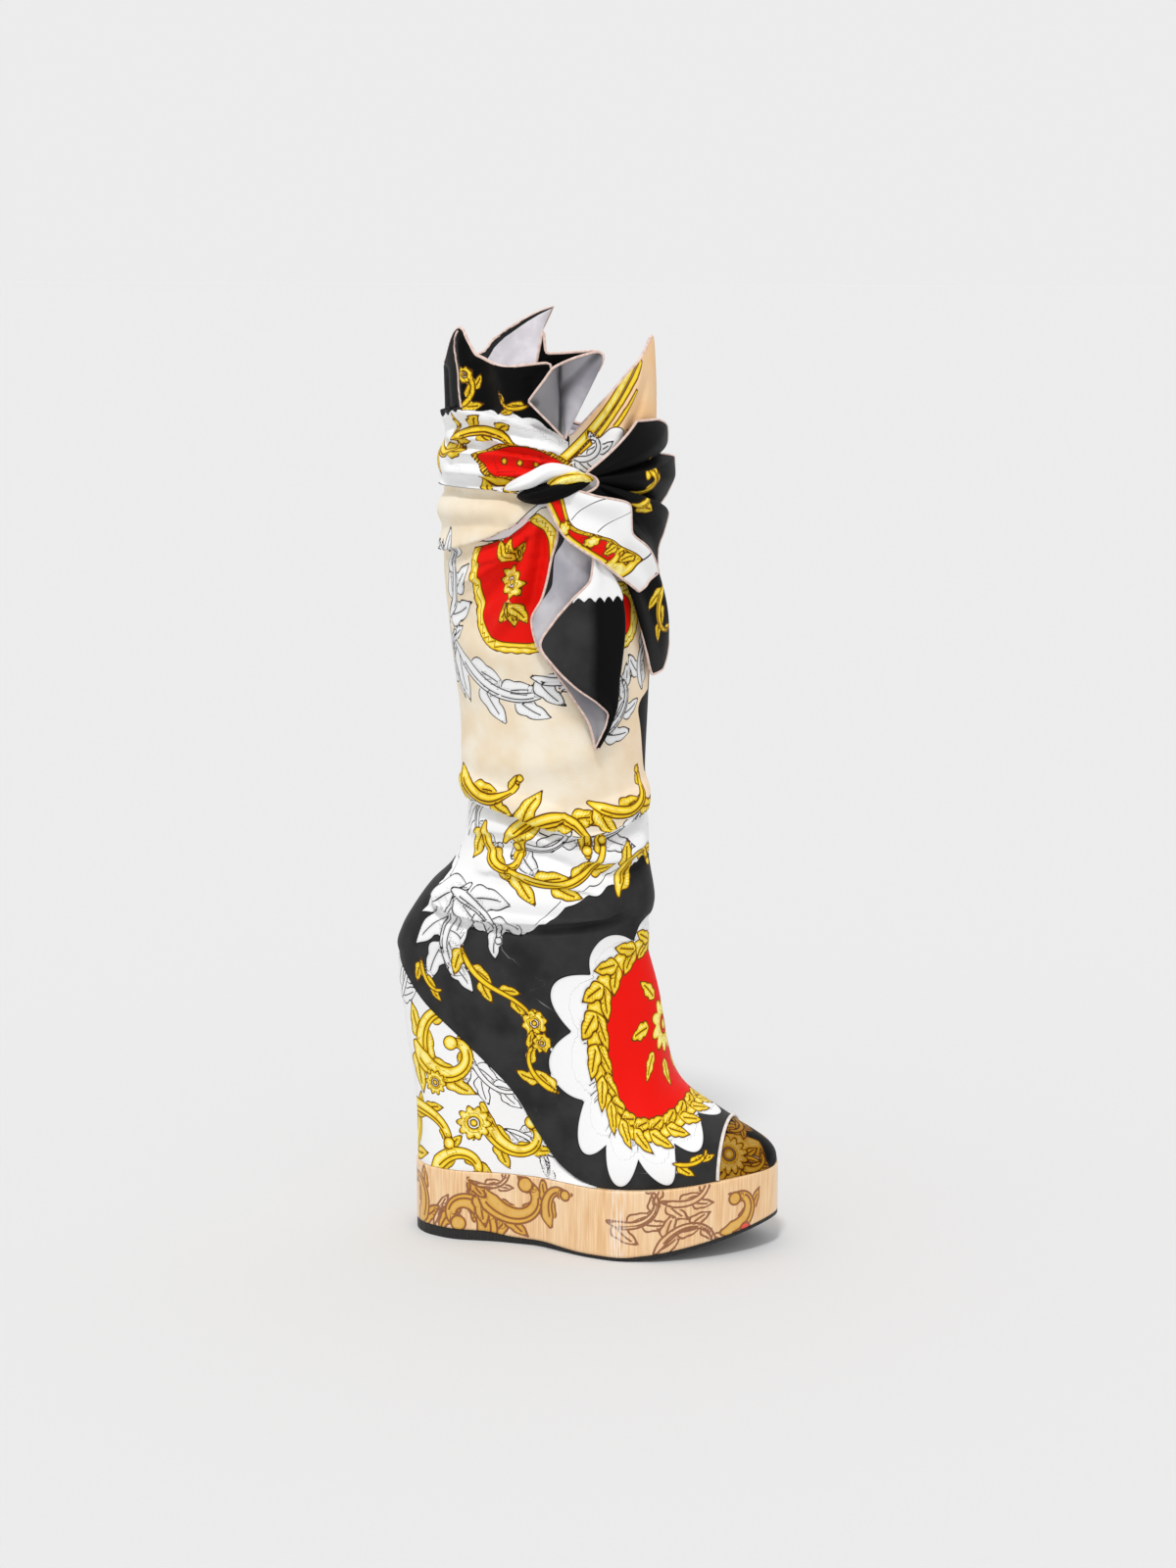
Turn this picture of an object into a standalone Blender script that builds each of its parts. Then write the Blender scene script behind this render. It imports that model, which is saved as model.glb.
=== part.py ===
"""Right-foot wedge boot: a scarf-cloth upper with a knotted scarf, on a cloth-covered wedge,
a wood-faced platform and a black rubber outsole.

+X points to the toe, +Y to the inner side of the foot and +Z up. The origin is on the floor,
under the heel. Tables are in millimetres and the meshes in metres.
"""

from collections import namedtuple

import bmesh
import bpy
import numpy as np

# Driving sizes, in millimetres
MM = 0.001
GAP = 0.3  # between two pieces that meet
WALL = 1.8  # cloth, backing and lining of the upper
HEEL_BACK = -34.0  # back edge of the sole
TOE_TIP = 178.2  # front edge of the sole
PLATFORM_TOP = 41.0  # from the heel to the ball
BALL = 96.0  # where the platform's top starts to rise to the toe
PLATFORM_EDGE = 0.8  # chamfer along the platform's top edge
RUBBER_INSET = 0.5  # how far the outsole keeps inside the platform
WEDGE_LEDGE = 0.7  # how far the wedge stands out around the upper
WEDGE_INSET = 0.6  # how far the wedge's foot keeps inside the platform
WEDGE_FRONT = 84.0  # where the wedge thins out on the platform
WEDGE_TIP = -41.4  # where its top edge ends behind the heel
INSOLE = 2.5
INSOLE_INSET = 0.6  # between the insole's edge and the wall
INSOLE_END = 4.5  # how much shorter than the footbed it is at each end
INSOLE_BACK = -38.5
INSOLE_FRONT = 170.5
TOE_SEAM_X = 150.5
TOE_STEP = 0.6  # how far the toe cap lies below the vamp
PIPING_RADIUS = 1.0
SHAFT_END = 456.0  # the collar starts here
SCARF = 1.0  # thickness of the scarf's ends

# How finely the lofts are cut
TURNS = 42
FOOT_LEVELS = 18
SHAFT_LEVELS = 21
COLLAR_LEVELS = 5
TOE_TURNS = 24
TOE_LEVELS = 8
SOLE_STATIONS = 40
WEDGE_TURNS = 10
PIPING_POINTS = 20
TAIL_TURNS = 5
FRONT_TAIL_TURNS = 22
FRONT_TAIL_LEVELS = 7
KNOT_SEGMENTS = 20
FINE_STEPS = 2000
SHARP_EDGE = 40.0  # degrees
SHORTEST_STEP = 1.0
END_CUT = 0.045  # how much of each round end stays flat, in radians

# The platform's plan: how far it reaches to the outer and the inner side of the centre line.
Plan = namedtuple("Plan", "x outer inner")
PLATFORM_PLAN = [
    Plan(HEEL_BACK, 0.0, 0.0),
    Plan(-30.0, 16.5, 15.5),
    Plan(-19.0, 27.0, 25.0),
    Plan(0.0, 32.0, 29.5),
    Plan(22.0, 30.6, 28.2),
    Plan(42.0, 32.4, 27.8),
    Plan(62.0, 39.4, 30.8),
    Plan(82.0, 46.2, 37.2),
    Plan(96.0, 48.4, 42.2),
    Plan(115.0, 46.2, 46.0),
    Plan(135.0, 39.0, 45.2),
    Plan(151.0, 29.6, 39.4),
    Plan(164.0, 19.0, 32.0),
    Plan(173.0, 7.6, 23.0),
    Plan(TOE_TIP, -7.0, 7.0),
]

# The outsole along the foot: height of its underside, and how thick the rubber is.
Tread = namedtuple("Tread", "x floor rubber")
TREAD_LINE = [
    Tread(HEEL_BACK, 0.0, 6.2),
    Tread(12.0, 0.0, 6.0),
    Tread(28.0, 0.0, 4.0),
    Tread(50.0, 1.4, 2.2),
    Tread(74.0, 0.0, 2.0),
    Tread(98.0, 0.0, 2.0),
    Tread(113.0, 1.8, 2.0),
    Tread(128.0, 4.5, 2.0),
    Tread(143.0, 7.8, 2.0),
    Tread(157.0, 11.4, 2.0),
    Tread(168.0, 14.6, 2.0),
    Tread(TOE_TIP, 17.8, 2.0),
]

# The last. A row is one section, in a plane across the foot that leans from the base point (on
# the footbed, or up the back seam) to the top point (on the vamp, or up the front of the shaft).
# base_share is the section's width at its base as a share of its full width, 0 on the back seam.
# Below 1, fullness rounds the back of the section.
Section = namedtuple("Section", "base_x base_z top_x top_z half_width base_share fullness")
SECTIONS = [
    Section(177.0, 47.5, 177.6, 51.0, 5.0, 1.0, 1.0),
    Section(174.8, 47.4, 176.0, 55.6, 12.0, 1.0, 1.0),
    Section(170.0, 47.1, 171.0, 61.2, 18.8, 1.0, 1.0),
    Section(161.0, 46.3, 161.2, 67.0, 26.2, 1.0, 1.0),
    Section(TOE_SEAM_X, 45.2, TOE_SEAM_X, 72.6, 32.8, 1.0, 1.0),
    Section(136.0, 43.6, 137.4, 80.8, 39.8, 1.0, 1.0),
    Section(120.0, 42.3, 125.2, 89.0, 43.6, 0.995, 1.0),
    Section(104.0, 41.6, 118.6, 97.5, 44.4, 0.99, 1.0),
    Section(90.0, 41.4, 115.4, 107.4, 42.6, 0.985, 1.0),
    Section(76.0, 43.4, 113.4, 118.6, 39.4, 0.975, 1.0),
    Section(62.0, 50.5, 111.8, 130.6, 36.4, 0.95, 1.0),
    Section(48.0, 67.5, 110.0, 142.6, 34.8, 0.92, 0.95),
    Section(31.0, 91.5, 107.6, 154.0, 34.2, 0.90, 0.9),
    Section(12.7, 109.0, 105.2, 163.0, 34.6, 0.88, 0.85),
    Section(-4.7, 124.0, 103.2, 170.8, 35.2, 0.84, 0.8),
    Section(-22.0, 138.5, 102.6, 178.5, 36.0, 0.73, 0.78),
    Section(-34.6, 152.0, 104.0, 186.0, 36.6, 0.52, 0.76),
    Section(-41.2, 161.0, 105.2, 190.5, 37.0, 0.30, 0.75),
    Section(-44.2, 168.5, 106.0, 194.5, 37.4, 0.0, 0.75),
    Section(-41.0, 179.0, 106.8, 201.0, 37.8, 0.0, 0.76),
    Section(-34.2, 191.0, 105.9, 209.0, 38.2, 0.0, 0.8),
    Section(-23.5, 206.0, 104.4, 217.0, 38.6, 0.0, 0.86),
    Section(-11.0, 218.5, 103.2, 225.0, 39.2, 0.0, 0.92),
    Section(-5.0, 230.0, 103.2, 233.0, 40.0, 0.0, 0.97),
    Section(-2.0, 245.0, 102.6, 245.0, 41.0, 0.0, 1.0),
    Section(-1.0, 258.0, 101.4, 258.0, 42.0, 0.0, 1.0),
    Section(-3.2, 272.0, 100.6, 272.0, 43.2, 0.0, 1.0),
    Section(-5.4, 306.0, 101.8, 306.0, 46.0, 0.0, 1.0),
    Section(-10.8, 352.0, 103.8, 352.0, 50.0, 0.0, 1.0),
    Section(-14.2, 396.0, 105.4, 396.0, 52.6, 0.0, 1.0),
    Section(-14.0, 432.0, 106.4, 432.0, 54.0, 0.0, 1.0),
    Section(-12.4, SHAFT_END, 106.0, SHAFT_END, 54.4, 0.0, 1.0),
]

# The foot's curve: how far its centre line lies to the inner side.
Bend = namedtuple("Bend", "x inward")
CENTRE_LINE = [
    Bend(-45.0, 0.0),
    Bend(25.0, -0.5),
    Bend(60.0, -3.2),
    Bend(85.0, -3.2),
    Bend(105.0, -0.6),
    Bend(120.0, 1.8),
    Bend(150.5, 5.6),
    Bend(165.0, 6.8),
    Bend(TOE_TIP, 7.0),
]

# The wedge's back edge.
BackEdge = namedtuple("BackEdge", "z x")
WEDGE_BACK = [
    BackEdge(41.0, -33.2),
    BackEdge(68.0, -33.7),
    BackEdge(88.0, -35.2),
    BackEdge(110.0, -38.9),
    BackEdge(132.0, -41.8),
    BackEdge(150.0, -44.6),
    BackEdge(168.0, -45.0),
]

# Angles go round the shaft in degrees: 0 is the front, -90 the outer side and 180 the back.
# The collar's rim: its height and how far it leans out.
Rim = namedtuple("Rim", "angle height flare")
RIM = [
    Rim(-180, 497, 1),
    Rim(-156, 503, 1),
    Rim(-130, 522, 3),
    Rim(-116, 507, 4),
    Rim(-96, 502, 8),
    Rim(-76, 504, 9),
    Rim(-59, 511, 18),
    Rim(-51, 466, 5),
    Rim(-42, 491, 1),
    Rim(-24, 507, 0),
    Rim(-9, 517, 0),
    Rim(4, 494, 0),
    Rim(20, 468, 0),
    Rim(50, 460, 0),
    Rim(82, 470, 1),
    Rim(95, 486, 3),
    Rim(104, 531, 4),
    Rim(120, 526, 3),
    Rim(140, 513, 2),
    Rim(180, 497, 1),
]

# Wraps and folds that stand out of the shaft's wall, each along a straight run from one angle
# and height to another.
Fold = namedtuple("Fold", "angle_a height_a half_a angle_b height_b half_b rise")
FOLDS = [
    Fold(-80, 447, 8, -300, 454, 17, 4.4),
    Fold(-84, 424, 6, -300, 416, 14, 2.4),
    Fold(-70, 252, 7, -165, 272, 9, 2.4),
    Fold(-70, 252, 7, 20, 266, 9, 2.0),
    Fold(-150, 206, 6, -30, 204, 8, 1.6),
]
FOLD_FADE = 0.125  # share of a fold's run over which it fades out at each end

# The knot: its place on the shaft, its half sizes along, out of and up the shaft, and its tilt.
KNOT_ANGLE = -70.0
KNOT_HEIGHT = 440.0
KNOT_HALF = (19.0, 9.0, 10.0)
KNOT_TILT = -12.0
KNOT_TWIST = 2.5  # radians by which the knot's two grooves turn from its middle to its end
KNOT_GROOVE = 0.14  # their depth as a share of the knot's radius

# The scarf end that hangs folded in two: the angles of its far hem, its folded edge and its
# near hem at each height, and how far out the two layers lie.
Tail = namedtuple("Tail", "height far_hem fold near_hem far_out near_out")
NEAR_TAIL = [
    Tail(427, -73, -63, -66, 1.0, 3.6),
    Tail(412, -72, -56, -59, 1.4, 4.6),
    Tail(399, -75, -51, -55, 2.0, 6.0),
    Tail(388, -77, -45, -56, 2.6, 7.6),
    Tail(377, -80, -41, -65, 3.2, 9.0),
    Tail(364, -86, -40, -75, 3.6, 10.4),
    Tail(352, -84, -41, -81, 4.0, 11.4),
    Tail(340, -77, -42, -75, 4.0, 11.0),
    Tail(328, -69, -42, -64, 4.0, 10.2),
    Tail(316, -62, -43, -53, 4.0, 9.4),
    Tail(306, -57, -45, -50, 4.0, 8.6),
    Tail(296, -54, -48, -52, 4.0, 7.6),
]
FOLD_OVERHANG = 1.5  # degrees by which the folded edge rounds past the layers

# The scarf end that fans out to the front: its hem, from the top round to the bottom.
Hem = namedtuple("Hem", "angle height out")
FRONT_TAIL = [
    Hem(-28, 472, 4.0),
    Hem(-10, 469, 4.5),
    Hem(4, 458, 6.0),
    Hem(12, 446, 8.0),
    Hem(10, 432, 6.0),
    Hem(4, 416, 3.0),
    Hem(0, 398, 3.0),
    Hem(3, 380, 2.6),
    Hem(9, 362, 5.5),
    Hem(13, 345, 9.5),
    Hem(5, 331, 7.0),
    Hem(-8, 330, 5.0),
    Hem(-20, 350, 5.0),
    Hem(-30, 378, 6.5),
    Hem(-38, 393, 8.0),
]
FRONT_TAIL_ARC = (50.0, -65.0)  # the part of the knot's edge that it comes from


def column(rows, name):
    return np.array([getattr(row, name) for row in rows], float)


def smooth(knots, values, at):
    """Values of a fair curve through the rows: a cubic that never overshoots them."""
    knots = np.asarray(knots, float)
    values = np.asarray(values, float)
    at = np.clip(at, knots[0], knots[-1])
    secants = np.diff(values) / np.diff(knots)
    before, after = secants[:-1], secants[1:]
    rising = before * after > 0
    mean = 2 * before * after / np.where(rising, before + after, 1)
    slopes = np.concatenate([secants[:1], np.where(rising, mean, 0), secants[-1:]])
    row = np.clip(np.searchsorted(knots, at, side="right") - 1, 0, len(knots) - 2)
    step = knots[row + 1] - knots[row]
    t = (at - knots[row]) / step
    start = (1 + 2 * t) * (1 - t) ** 2 * values[row] + t * (1 - t) ** 2 * step * slopes[row]
    end = t**2 * (3 - 2 * t) * values[row + 1] + t**2 * (t - 1) * step * slopes[row + 1]
    return start + end


def section_stations():
    """A running length along the last for each section, midway between its base and its top."""
    base = np.stack([column(SECTIONS, "base_x"), column(SECTIONS, "base_z")])
    top = np.stack([column(SECTIONS, "top_x"), column(SECTIONS, "top_z")])
    steps = (np.hypot(*np.diff(base)) + np.hypot(*np.diff(top))) / 2
    return np.concatenate([[0], np.cumsum(steps)])


STATIONS = section_stations()
SEAM_STATION = STATIONS[column(SECTIONS, "base_x").tolist().index(TOE_SEAM_X)]
BACK_STATION = STATIONS[column(SECTIONS, "base_share").tolist().index(0.0)]
# Upper, insole and wedge share these, so that their straight facets lie along each other.
FOOT_STATIONS = np.linspace(SEAM_STATION, BACK_STATION, FOOT_LEVELS)


def last(name, station):
    return smooth(STATIONS, column(SECTIONS, name), station)


def shaft_station(height):
    """The station where the back seam has this height."""
    fine = np.linspace(BACK_STATION, STATIONS[-1], FINE_STEPS)
    return np.interp(height, last("base_z", fine), fine)


def centre_line(x):
    return smooth(column(CENTRE_LINE, "x"), column(CENTRE_LINE, "inward"), x)


def footbed(x):
    """Height of the footbed, where the upper's lower edge is."""
    return last("base_z", footbed_station(x))


def footbed_station(x):
    fine = np.linspace(BACK_STATION, STATIONS[0], FINE_STEPS)
    return np.interp(x, last("base_x", fine), fine)


def footbed_half_width(x):
    station = footbed_station(x)
    return last("half_width", station) * last("base_share", station)


def platform_side(x, side):
    """Half the platform's width on one side, with round ends."""
    knots = np.arccos(1 - 2 * (column(PLATFORM_PLAN, "x") - HEEL_BACK) / (TOE_TIP - HEEL_BACK))
    place = np.arccos(np.clip(1 - 2 * (x - HEEL_BACK) / (TOE_TIP - HEEL_BACK), -1, 1))
    return smooth(knots, column(PLATFORM_PLAN, side), place)


def tread(name, x):
    return smooth(column(TREAD_LINE, "x"), column(TREAD_LINE, name), x)


def fold_rise(angle, height):
    """How far the wraps and folds lift the wall at an angle and a height."""
    rise = np.zeros(np.broadcast(angle, height).shape)
    for fold in FOLDS:
        run = fold.angle_b - fold.angle_a
        ahead = (np.asarray(angle) - fold.angle_a) % (360 * np.sign(run))
        along = np.clip(ahead / run, 0, 1)
        middle = fold.height_a + along * (fold.height_b - fold.height_a)
        half = fold.half_a + along * (fold.half_b - fold.half_a)
        across = np.clip(1 - ((height - middle) / half) ** 2, 0, 1)
        ends = np.clip(along / FOLD_FADE, 0, 1) * np.clip((1 - along) / FOLD_FADE, 0, 1)
        rise = np.maximum(rise, fold.rise * across**1.5 * ends)
    return rise


def upper_points(stations, turns, inset=0.0):
    """The upper's outer face: a row for each station, from the outer edge over to the inner one."""
    station, turn = np.meshgrid(stations, turns, indexing="ij")
    fullness = last("fullness", station)
    share = np.clip(last("base_share", station), 0, 1)
    start = np.arcsin(share ** (1 / fullness))
    outer = turn < 0.5
    opening = start + (np.pi - start) * 2 * np.where(outer, turn, 1 - turn)
    angle = np.degrees(opening - np.pi) * np.where(outer, 1, -1)
    climb = (np.cos(start) - np.cos(opening)) / (1 + np.cos(start))
    base = np.stack([last("base_x", station), last("base_z", station)], -1)
    top = np.stack([last("top_x", station), last("top_z", station)], -1)
    lean = top - base
    length = np.linalg.norm(lean, axis=-1, keepdims=True)
    place = base + lean * (1 - inset / length) * climb[..., None]
    rise = fold_rise(angle, place[..., 1])
    place += lean / length * (rise * -np.cos(opening))[..., None]
    round_back = np.where(opening < np.pi / 2, fullness, 1.0)
    width = (last("half_width", station) - inset + rise) * np.abs(np.sin(opening)) ** round_back
    across = centre_line(place[..., 0]) + np.where(outer, -width, width)
    return np.stack([place[..., 0], across, place[..., 1]], -1)


def shaft_point(angle, height, out):
    """A point that lies out from the shaft's wall, where its sections are level."""
    station = shaft_station(height)
    back, front = last("base_x", station), last("top_x", station)
    turn = np.radians(angle)
    x = (front + back) / 2 + ((front - back) / 2 + out) * np.cos(turn)
    y = (last("half_width", station) + out) * np.sin(turn) + centre_line(x)
    return np.stack(np.broadcast_arrays(x, y, height), -1)


def collar_points(turns, levels):
    """Rows of the collar above the shaft, up to its pointed rim."""
    angle = -180 + 360 * turns
    foot = shaft_point(angle, np.full_like(angle, SHAFT_END), 0.0)
    height = smooth(column(RIM, "angle"), column(RIM, "height"), angle)
    flare = smooth(column(RIM, "angle"), column(RIM, "flare"), angle)
    outward = np.stack([np.cos(np.radians(angle)), np.sin(np.radians(angle))], -1)
    lift = np.linspace(0, 1, levels + 1)[1:, None]
    rows = np.repeat(foot[None], levels, 0)
    rise = fold_rise(angle, SHAFT_END + lift * (height - SHAFT_END))
    rows[..., :2] += outward * (lift**1.5 * flare + rise)[..., None]
    rows[..., 2] += lift * (height - SHAFT_END)
    return rows


def add_material(name, colour, roughness):
    material = bpy.data.materials.new(name)
    material.use_nodes = True
    shader = material.node_tree.nodes["Principled BSDF"]
    shader.inputs["Base Color"].default_value = (*colour, 1)
    shader.inputs["Roughness"].default_value = roughness
    shader.inputs["Metallic"].default_value = 0.0
    return material


def add_object(name, data, material):
    data.materials.append(material)
    piece = bpy.data.objects.new(name, data)
    boot.objects.link(piece)
    piece.parent = frame
    return piece


def mesh_from(name, bm):
    bmesh.ops.remove_doubles(bm, verts=bm.verts, dist=1e-6)
    bmesh.ops.recalc_face_normals(bm, faces=bm.faces)
    mesh = bpy.data.meshes.new(name)
    bm.to_mesh(mesh)
    bm.free()
    mesh.shade_smooth()
    mesh.set_sharp_from_angle(angle=np.radians(SHARP_EDGE))
    return mesh


def loft(name, material, rings):
    """A solid through closed rings of points, with a flat face at each end."""
    bm = bmesh.new()
    rows = [[bm.verts.new(point * MM) for point in ring] for ring in rings]
    for near, far in zip(rows, rows[1:]):
        for i in range(len(near)):
            bm.faces.new((near[i - 1], near[i], far[i], far[i - 1]))
    bm.faces.new(rows[0])
    bm.faces.new(rows[-1])
    return add_object(name, mesh_from(name, bm), material)


def shell(name, material, rows, thickness, side, close_start=False):
    """An open surface through rows of points, given its thickness on one side (-1 in, 1 out)."""
    bm = bmesh.new()
    grid = [[bm.verts.new(point * MM) for point in row] for row in rows]
    for near, far in zip(grid, grid[1:]):
        for i in range(1, len(near)):
            bm.faces.new((near[i - 1], near[i], far[i], far[i - 1]))
    if close_start:
        bm.faces.new(grid[0])
    mesh = mesh_from(name, bm)
    piece = add_object(name, mesh, material)
    solid = piece.modifiers.new("Wall", "SOLIDIFY")
    solid.thickness = thickness * MM
    solid.offset = side
    return piece


def across_ring(x, outer, inner, bottom, top, edge=0.0):
    """A ring across the foot at x, with its top edges cut off by a chamfer."""
    middle = (inner - outer) / 2
    corners = [
        (x, -outer, bottom),
        (x, -outer, top - edge),
        (x, edge - outer, top),
        (x, middle, top),
        (x, inner - edge, top),
        (x, inner, top - edge),
        (x, inner, bottom),
        (x, middle, bottom),
    ]
    return np.array(corners)


def round_stations(start, end, count):
    """Stations along the foot, closer together towards the round ends."""
    turn = np.linspace(END_CUT, np.pi - END_CUT, count)
    return start + (end - start) * (1 - np.cos(turn)) / 2


def make_outsole(material):
    rings = []
    for x in round_stations(HEEL_BACK, TOE_TIP, SOLE_STATIONS):
        outer = platform_side(x, "outer") - RUBBER_INSET
        inner = platform_side(x, "inner") - RUBBER_INSET
        floor = tread("floor", x)
        rings.append(across_ring(x, outer, inner, floor, floor + tread("rubber", x)))
    return loft("outsole", material, rings)


def make_platform(material):
    rings = []
    for x in round_stations(HEEL_BACK, TOE_TIP, SOLE_STATIONS):
        outer, inner = platform_side(x, "outer"), platform_side(x, "inner")
        bottom = tread("floor", x) + tread("rubber", x) + GAP
        top = footbed(x) - GAP if x > BALL else PLATFORM_TOP
        rings.append(across_ring(x, outer, inner, bottom, top, PLATFORM_EDGE))
    return loft("platform", material, rings)


def foot_places(front, back):
    """Places along the footbed from front to back, on the stations that the upper has too."""
    toe = np.linspace(footbed_station(INSOLE_FRONT), SEAM_STATION, TOE_LEVELS)
    places = last("base_x", np.concatenate([toe[:-1], FOOT_STATIONS]))
    inside = (places < front - SHORTEST_STEP) & (places > back + SHORTEST_STEP)
    return np.concatenate([[front], places[inside], [back]])


def wedge_ring(front, height):
    """A level ring of the wedge: round the back from one side to the other, cut off at the front."""
    back = smooth(column(WEDGE_BACK, "z"), column(WEDGE_BACK, "x"), height)
    depth = (front - back) * (1 - np.cos(np.linspace(0, np.pi / 2, WEDGE_TURNS)))
    rise = height - PLATFORM_TOP - GAP
    blend = np.clip(rise / (footbed(back + depth) - 2 * GAP - PLATFORM_TOP), 0, 1)
    heel = column(SECTIONS, "base_x").min()
    sides = []
    for side, sign in (("outer", -1), ("inner", 1)):
        foot = np.maximum(platform_side(HEEL_BACK + depth, side) - WEDGE_INSET, 0)
        seat = footbed_half_width(heel + depth) + WEDGE_LEDGE + sign * centre_line(heel + depth)
        width = (1 - blend) * foot + blend * seat
        width[0] = 0
        sides.append(np.stack([back + depth, sign * width, np.full_like(depth, height)], -1))
    return np.concatenate([sides[0][::-1], sides[1][1:]])


def make_wedge(material):
    rings = [wedge_ring(WEDGE_FRONT, PLATFORM_TOP + GAP)]
    for x in foot_places(WEDGE_FRONT, WEDGE_TIP):
        rings.append(wedge_ring(x, footbed(x) - GAP))
    return loft("wedge", material, rings)


def make_insole(material):
    rings = []
    for x in foot_places(INSOLE_FRONT, INSOLE_BACK):
        ends = footbed_half_width(np.array([x - INSOLE_END, x + INSOLE_END]))
        half = ends.min() - WALL - INSOLE_INSET
        middle = centre_line(x)
        rings.append(across_ring(x, half - middle, half + middle, footbed(x), footbed(x) + INSOLE))
    return loft("insole", material, rings)


def make_upper(material):
    turns = np.linspace(0, 1, TURNS + 1)
    shaft = np.linspace(BACK_STATION, STATIONS[-1], SHAFT_LEVELS)[1:]
    stations = np.concatenate([FOOT_STATIONS, shaft])
    stations[0] += GAP / 2
    rows = upper_points(stations, turns)
    rows = np.concatenate([rows, collar_points(turns, COLLAR_LEVELS)])
    return shell("upper", material, rows, WALL, -1)


def make_toe_cap(material):
    turns = np.linspace(0, 1, TOE_TURNS + 1)
    stations = np.linspace(STATIONS[0], SEAM_STATION - GAP / 2, TOE_LEVELS)
    rows = upper_points(stations, turns, inset=TOE_STEP)
    return shell("toe_cap", material, rows, WALL, -1, close_start=True)


def make_piping(material):
    turns = np.linspace(0, 1, PIPING_POINTS)[1:-1]
    points = upper_points([SEAM_STATION], turns, inset=-(PIPING_RADIUS + GAP))[0]
    curve = bpy.data.curves.new("toe_piping", "CURVE")
    curve.dimensions = "3D"
    curve.bevel_depth = PIPING_RADIUS * MM
    curve.bevel_resolution = 2
    curve.use_fill_caps = True
    spline = curve.splines.new("POLY")
    spline.points.add(len(points) - 1)
    for knot, point in zip(spline.points, points):
        knot.co = (*(point * MM), 1)
    return add_object("toe_piping", curve, material)


def make_knot(material):
    bm = bmesh.new()
    bmesh.ops.create_uvsphere(bm, u_segments=KNOT_SEGMENTS, v_segments=KNOT_SEGMENTS // 2, radius=1)
    for vert in bm.verts:
        around = np.arctan2(vert.co.y, vert.co.z)
        groove = 1 - KNOT_GROOVE * np.cos(around + KNOT_TWIST / 2 * vert.co.x) ** 8
        half = np.array(KNOT_HALF) * MM
        vert.co = (vert.co.x * half[0], vert.co.y * half[1] * groove, vert.co.z * half[2] * groove)
    piece = add_object("knot", mesh_from("knot", bm), material)
    piece.location = shaft_point(KNOT_ANGLE, KNOT_HEIGHT, KNOT_HALF[1] + GAP) * MM
    piece.rotation_euler = np.radians((0, KNOT_TILT, KNOT_ANGLE - 90))
    return piece


def make_near_tail(material):
    rows = []
    for row in NEAR_TAIL:
        far = np.linspace(row.far_hem, row.fold, TAIL_TURNS)
        near = np.linspace(row.fold, row.near_hem, TAIL_TURNS)
        angle = np.concatenate([far, [row.fold + FOLD_OVERHANG], near])
        middle = (row.far_out + row.near_out) / 2
        out = np.repeat([row.far_out, middle, row.near_out], [TAIL_TURNS, 1, TAIL_TURNS])
        rows.append(shaft_point(angle, np.full_like(angle, row.height), out))
    return shell("tail_near", material, rows, SCARF, 0)


def make_front_tail(material):
    place = np.linspace(0, len(FRONT_TAIL) - 1, FRONT_TAIL_TURNS)
    knots = np.arange(len(FRONT_TAIL))
    hem = [smooth(knots, column(FRONT_TAIL, name), place) for name in Hem._fields]
    turn = np.radians(np.linspace(*FRONT_TAIL_ARC, FRONT_TAIL_TURNS))
    reach = KNOT_HALF[0] + SCARF
    start = [
        KNOT_ANGLE + np.degrees(reach / last("half_width", STATIONS[-1])) * np.cos(turn),
        KNOT_HEIGHT + (KNOT_HALF[2] + SCARF) * np.sin(turn),
        np.full_like(turn, KNOT_HALF[1]),
    ]
    rows = []
    for share in np.linspace(0, 1, FRONT_TAIL_LEVELS):
        angle, height, out = (a + share * (b - a) for a, b in zip(start, hem))
        rows.append(shaft_point(angle, height, out))
    return shell("tail_front", material, rows, SCARF, 0)


for old in list(bpy.data.objects):
    bpy.data.objects.remove(old)

boot = bpy.data.collections.new("wedge_boot")
bpy.context.scene.collection.children.link(boot)
frame = bpy.data.objects.new("boot_frame", None)
boot.objects.link(frame)

rubber = add_material("black_rubber", (0.012, 0.012, 0.012), 0.6)
wood = add_material("pale_wood", (0.72, 0.47, 0.27), 0.35)
wedge_cloth = add_material("wedge_print", (0.8, 0.74, 0.6), 0.5)
sock_cloth = add_material("sock", (0.62, 0.5, 0.38), 0.7)
print_cloth = add_material("scarf_print", (0.75, 0.6, 0.42), 0.45)
toe_cloth = add_material("toe_print", (0.12, 0.09, 0.03), 0.5)
binding = add_material("pale_binding", (0.85, 0.8, 0.74), 0.6)
scarf_cloth = add_material("scarf_black", (0.02, 0.02, 0.02), 0.5)

make_outsole(rubber)
make_platform(wood)
make_wedge(wedge_cloth)
make_insole(sock_cloth)
make_upper(print_cloth)
make_toe_cap(toe_cloth)
make_piping(binding)
make_knot(scarf_cloth)
make_near_tail(scarf_cloth)
make_front_tail(scarf_cloth)
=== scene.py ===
# %% [markdown]
# # A wedge boot wrapped in a printed scarf
#
# This is a right boot, seen from its outer side. Printed cloth wraps the foot and the leg, a
# knotted scarf holds it below a pointed collar, and a cloth-covered wedge on a wood-faced platform
# lifts the heel. The frame gives the solids. This script gives them folds, hems, lining, print,
# wood grain and rubber. Lengths are in millimetres until a mesh is made.

from collections import namedtuple

import bpy
import numpy as np
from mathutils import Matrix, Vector
from mathutils.kdtree import KDTree


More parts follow.
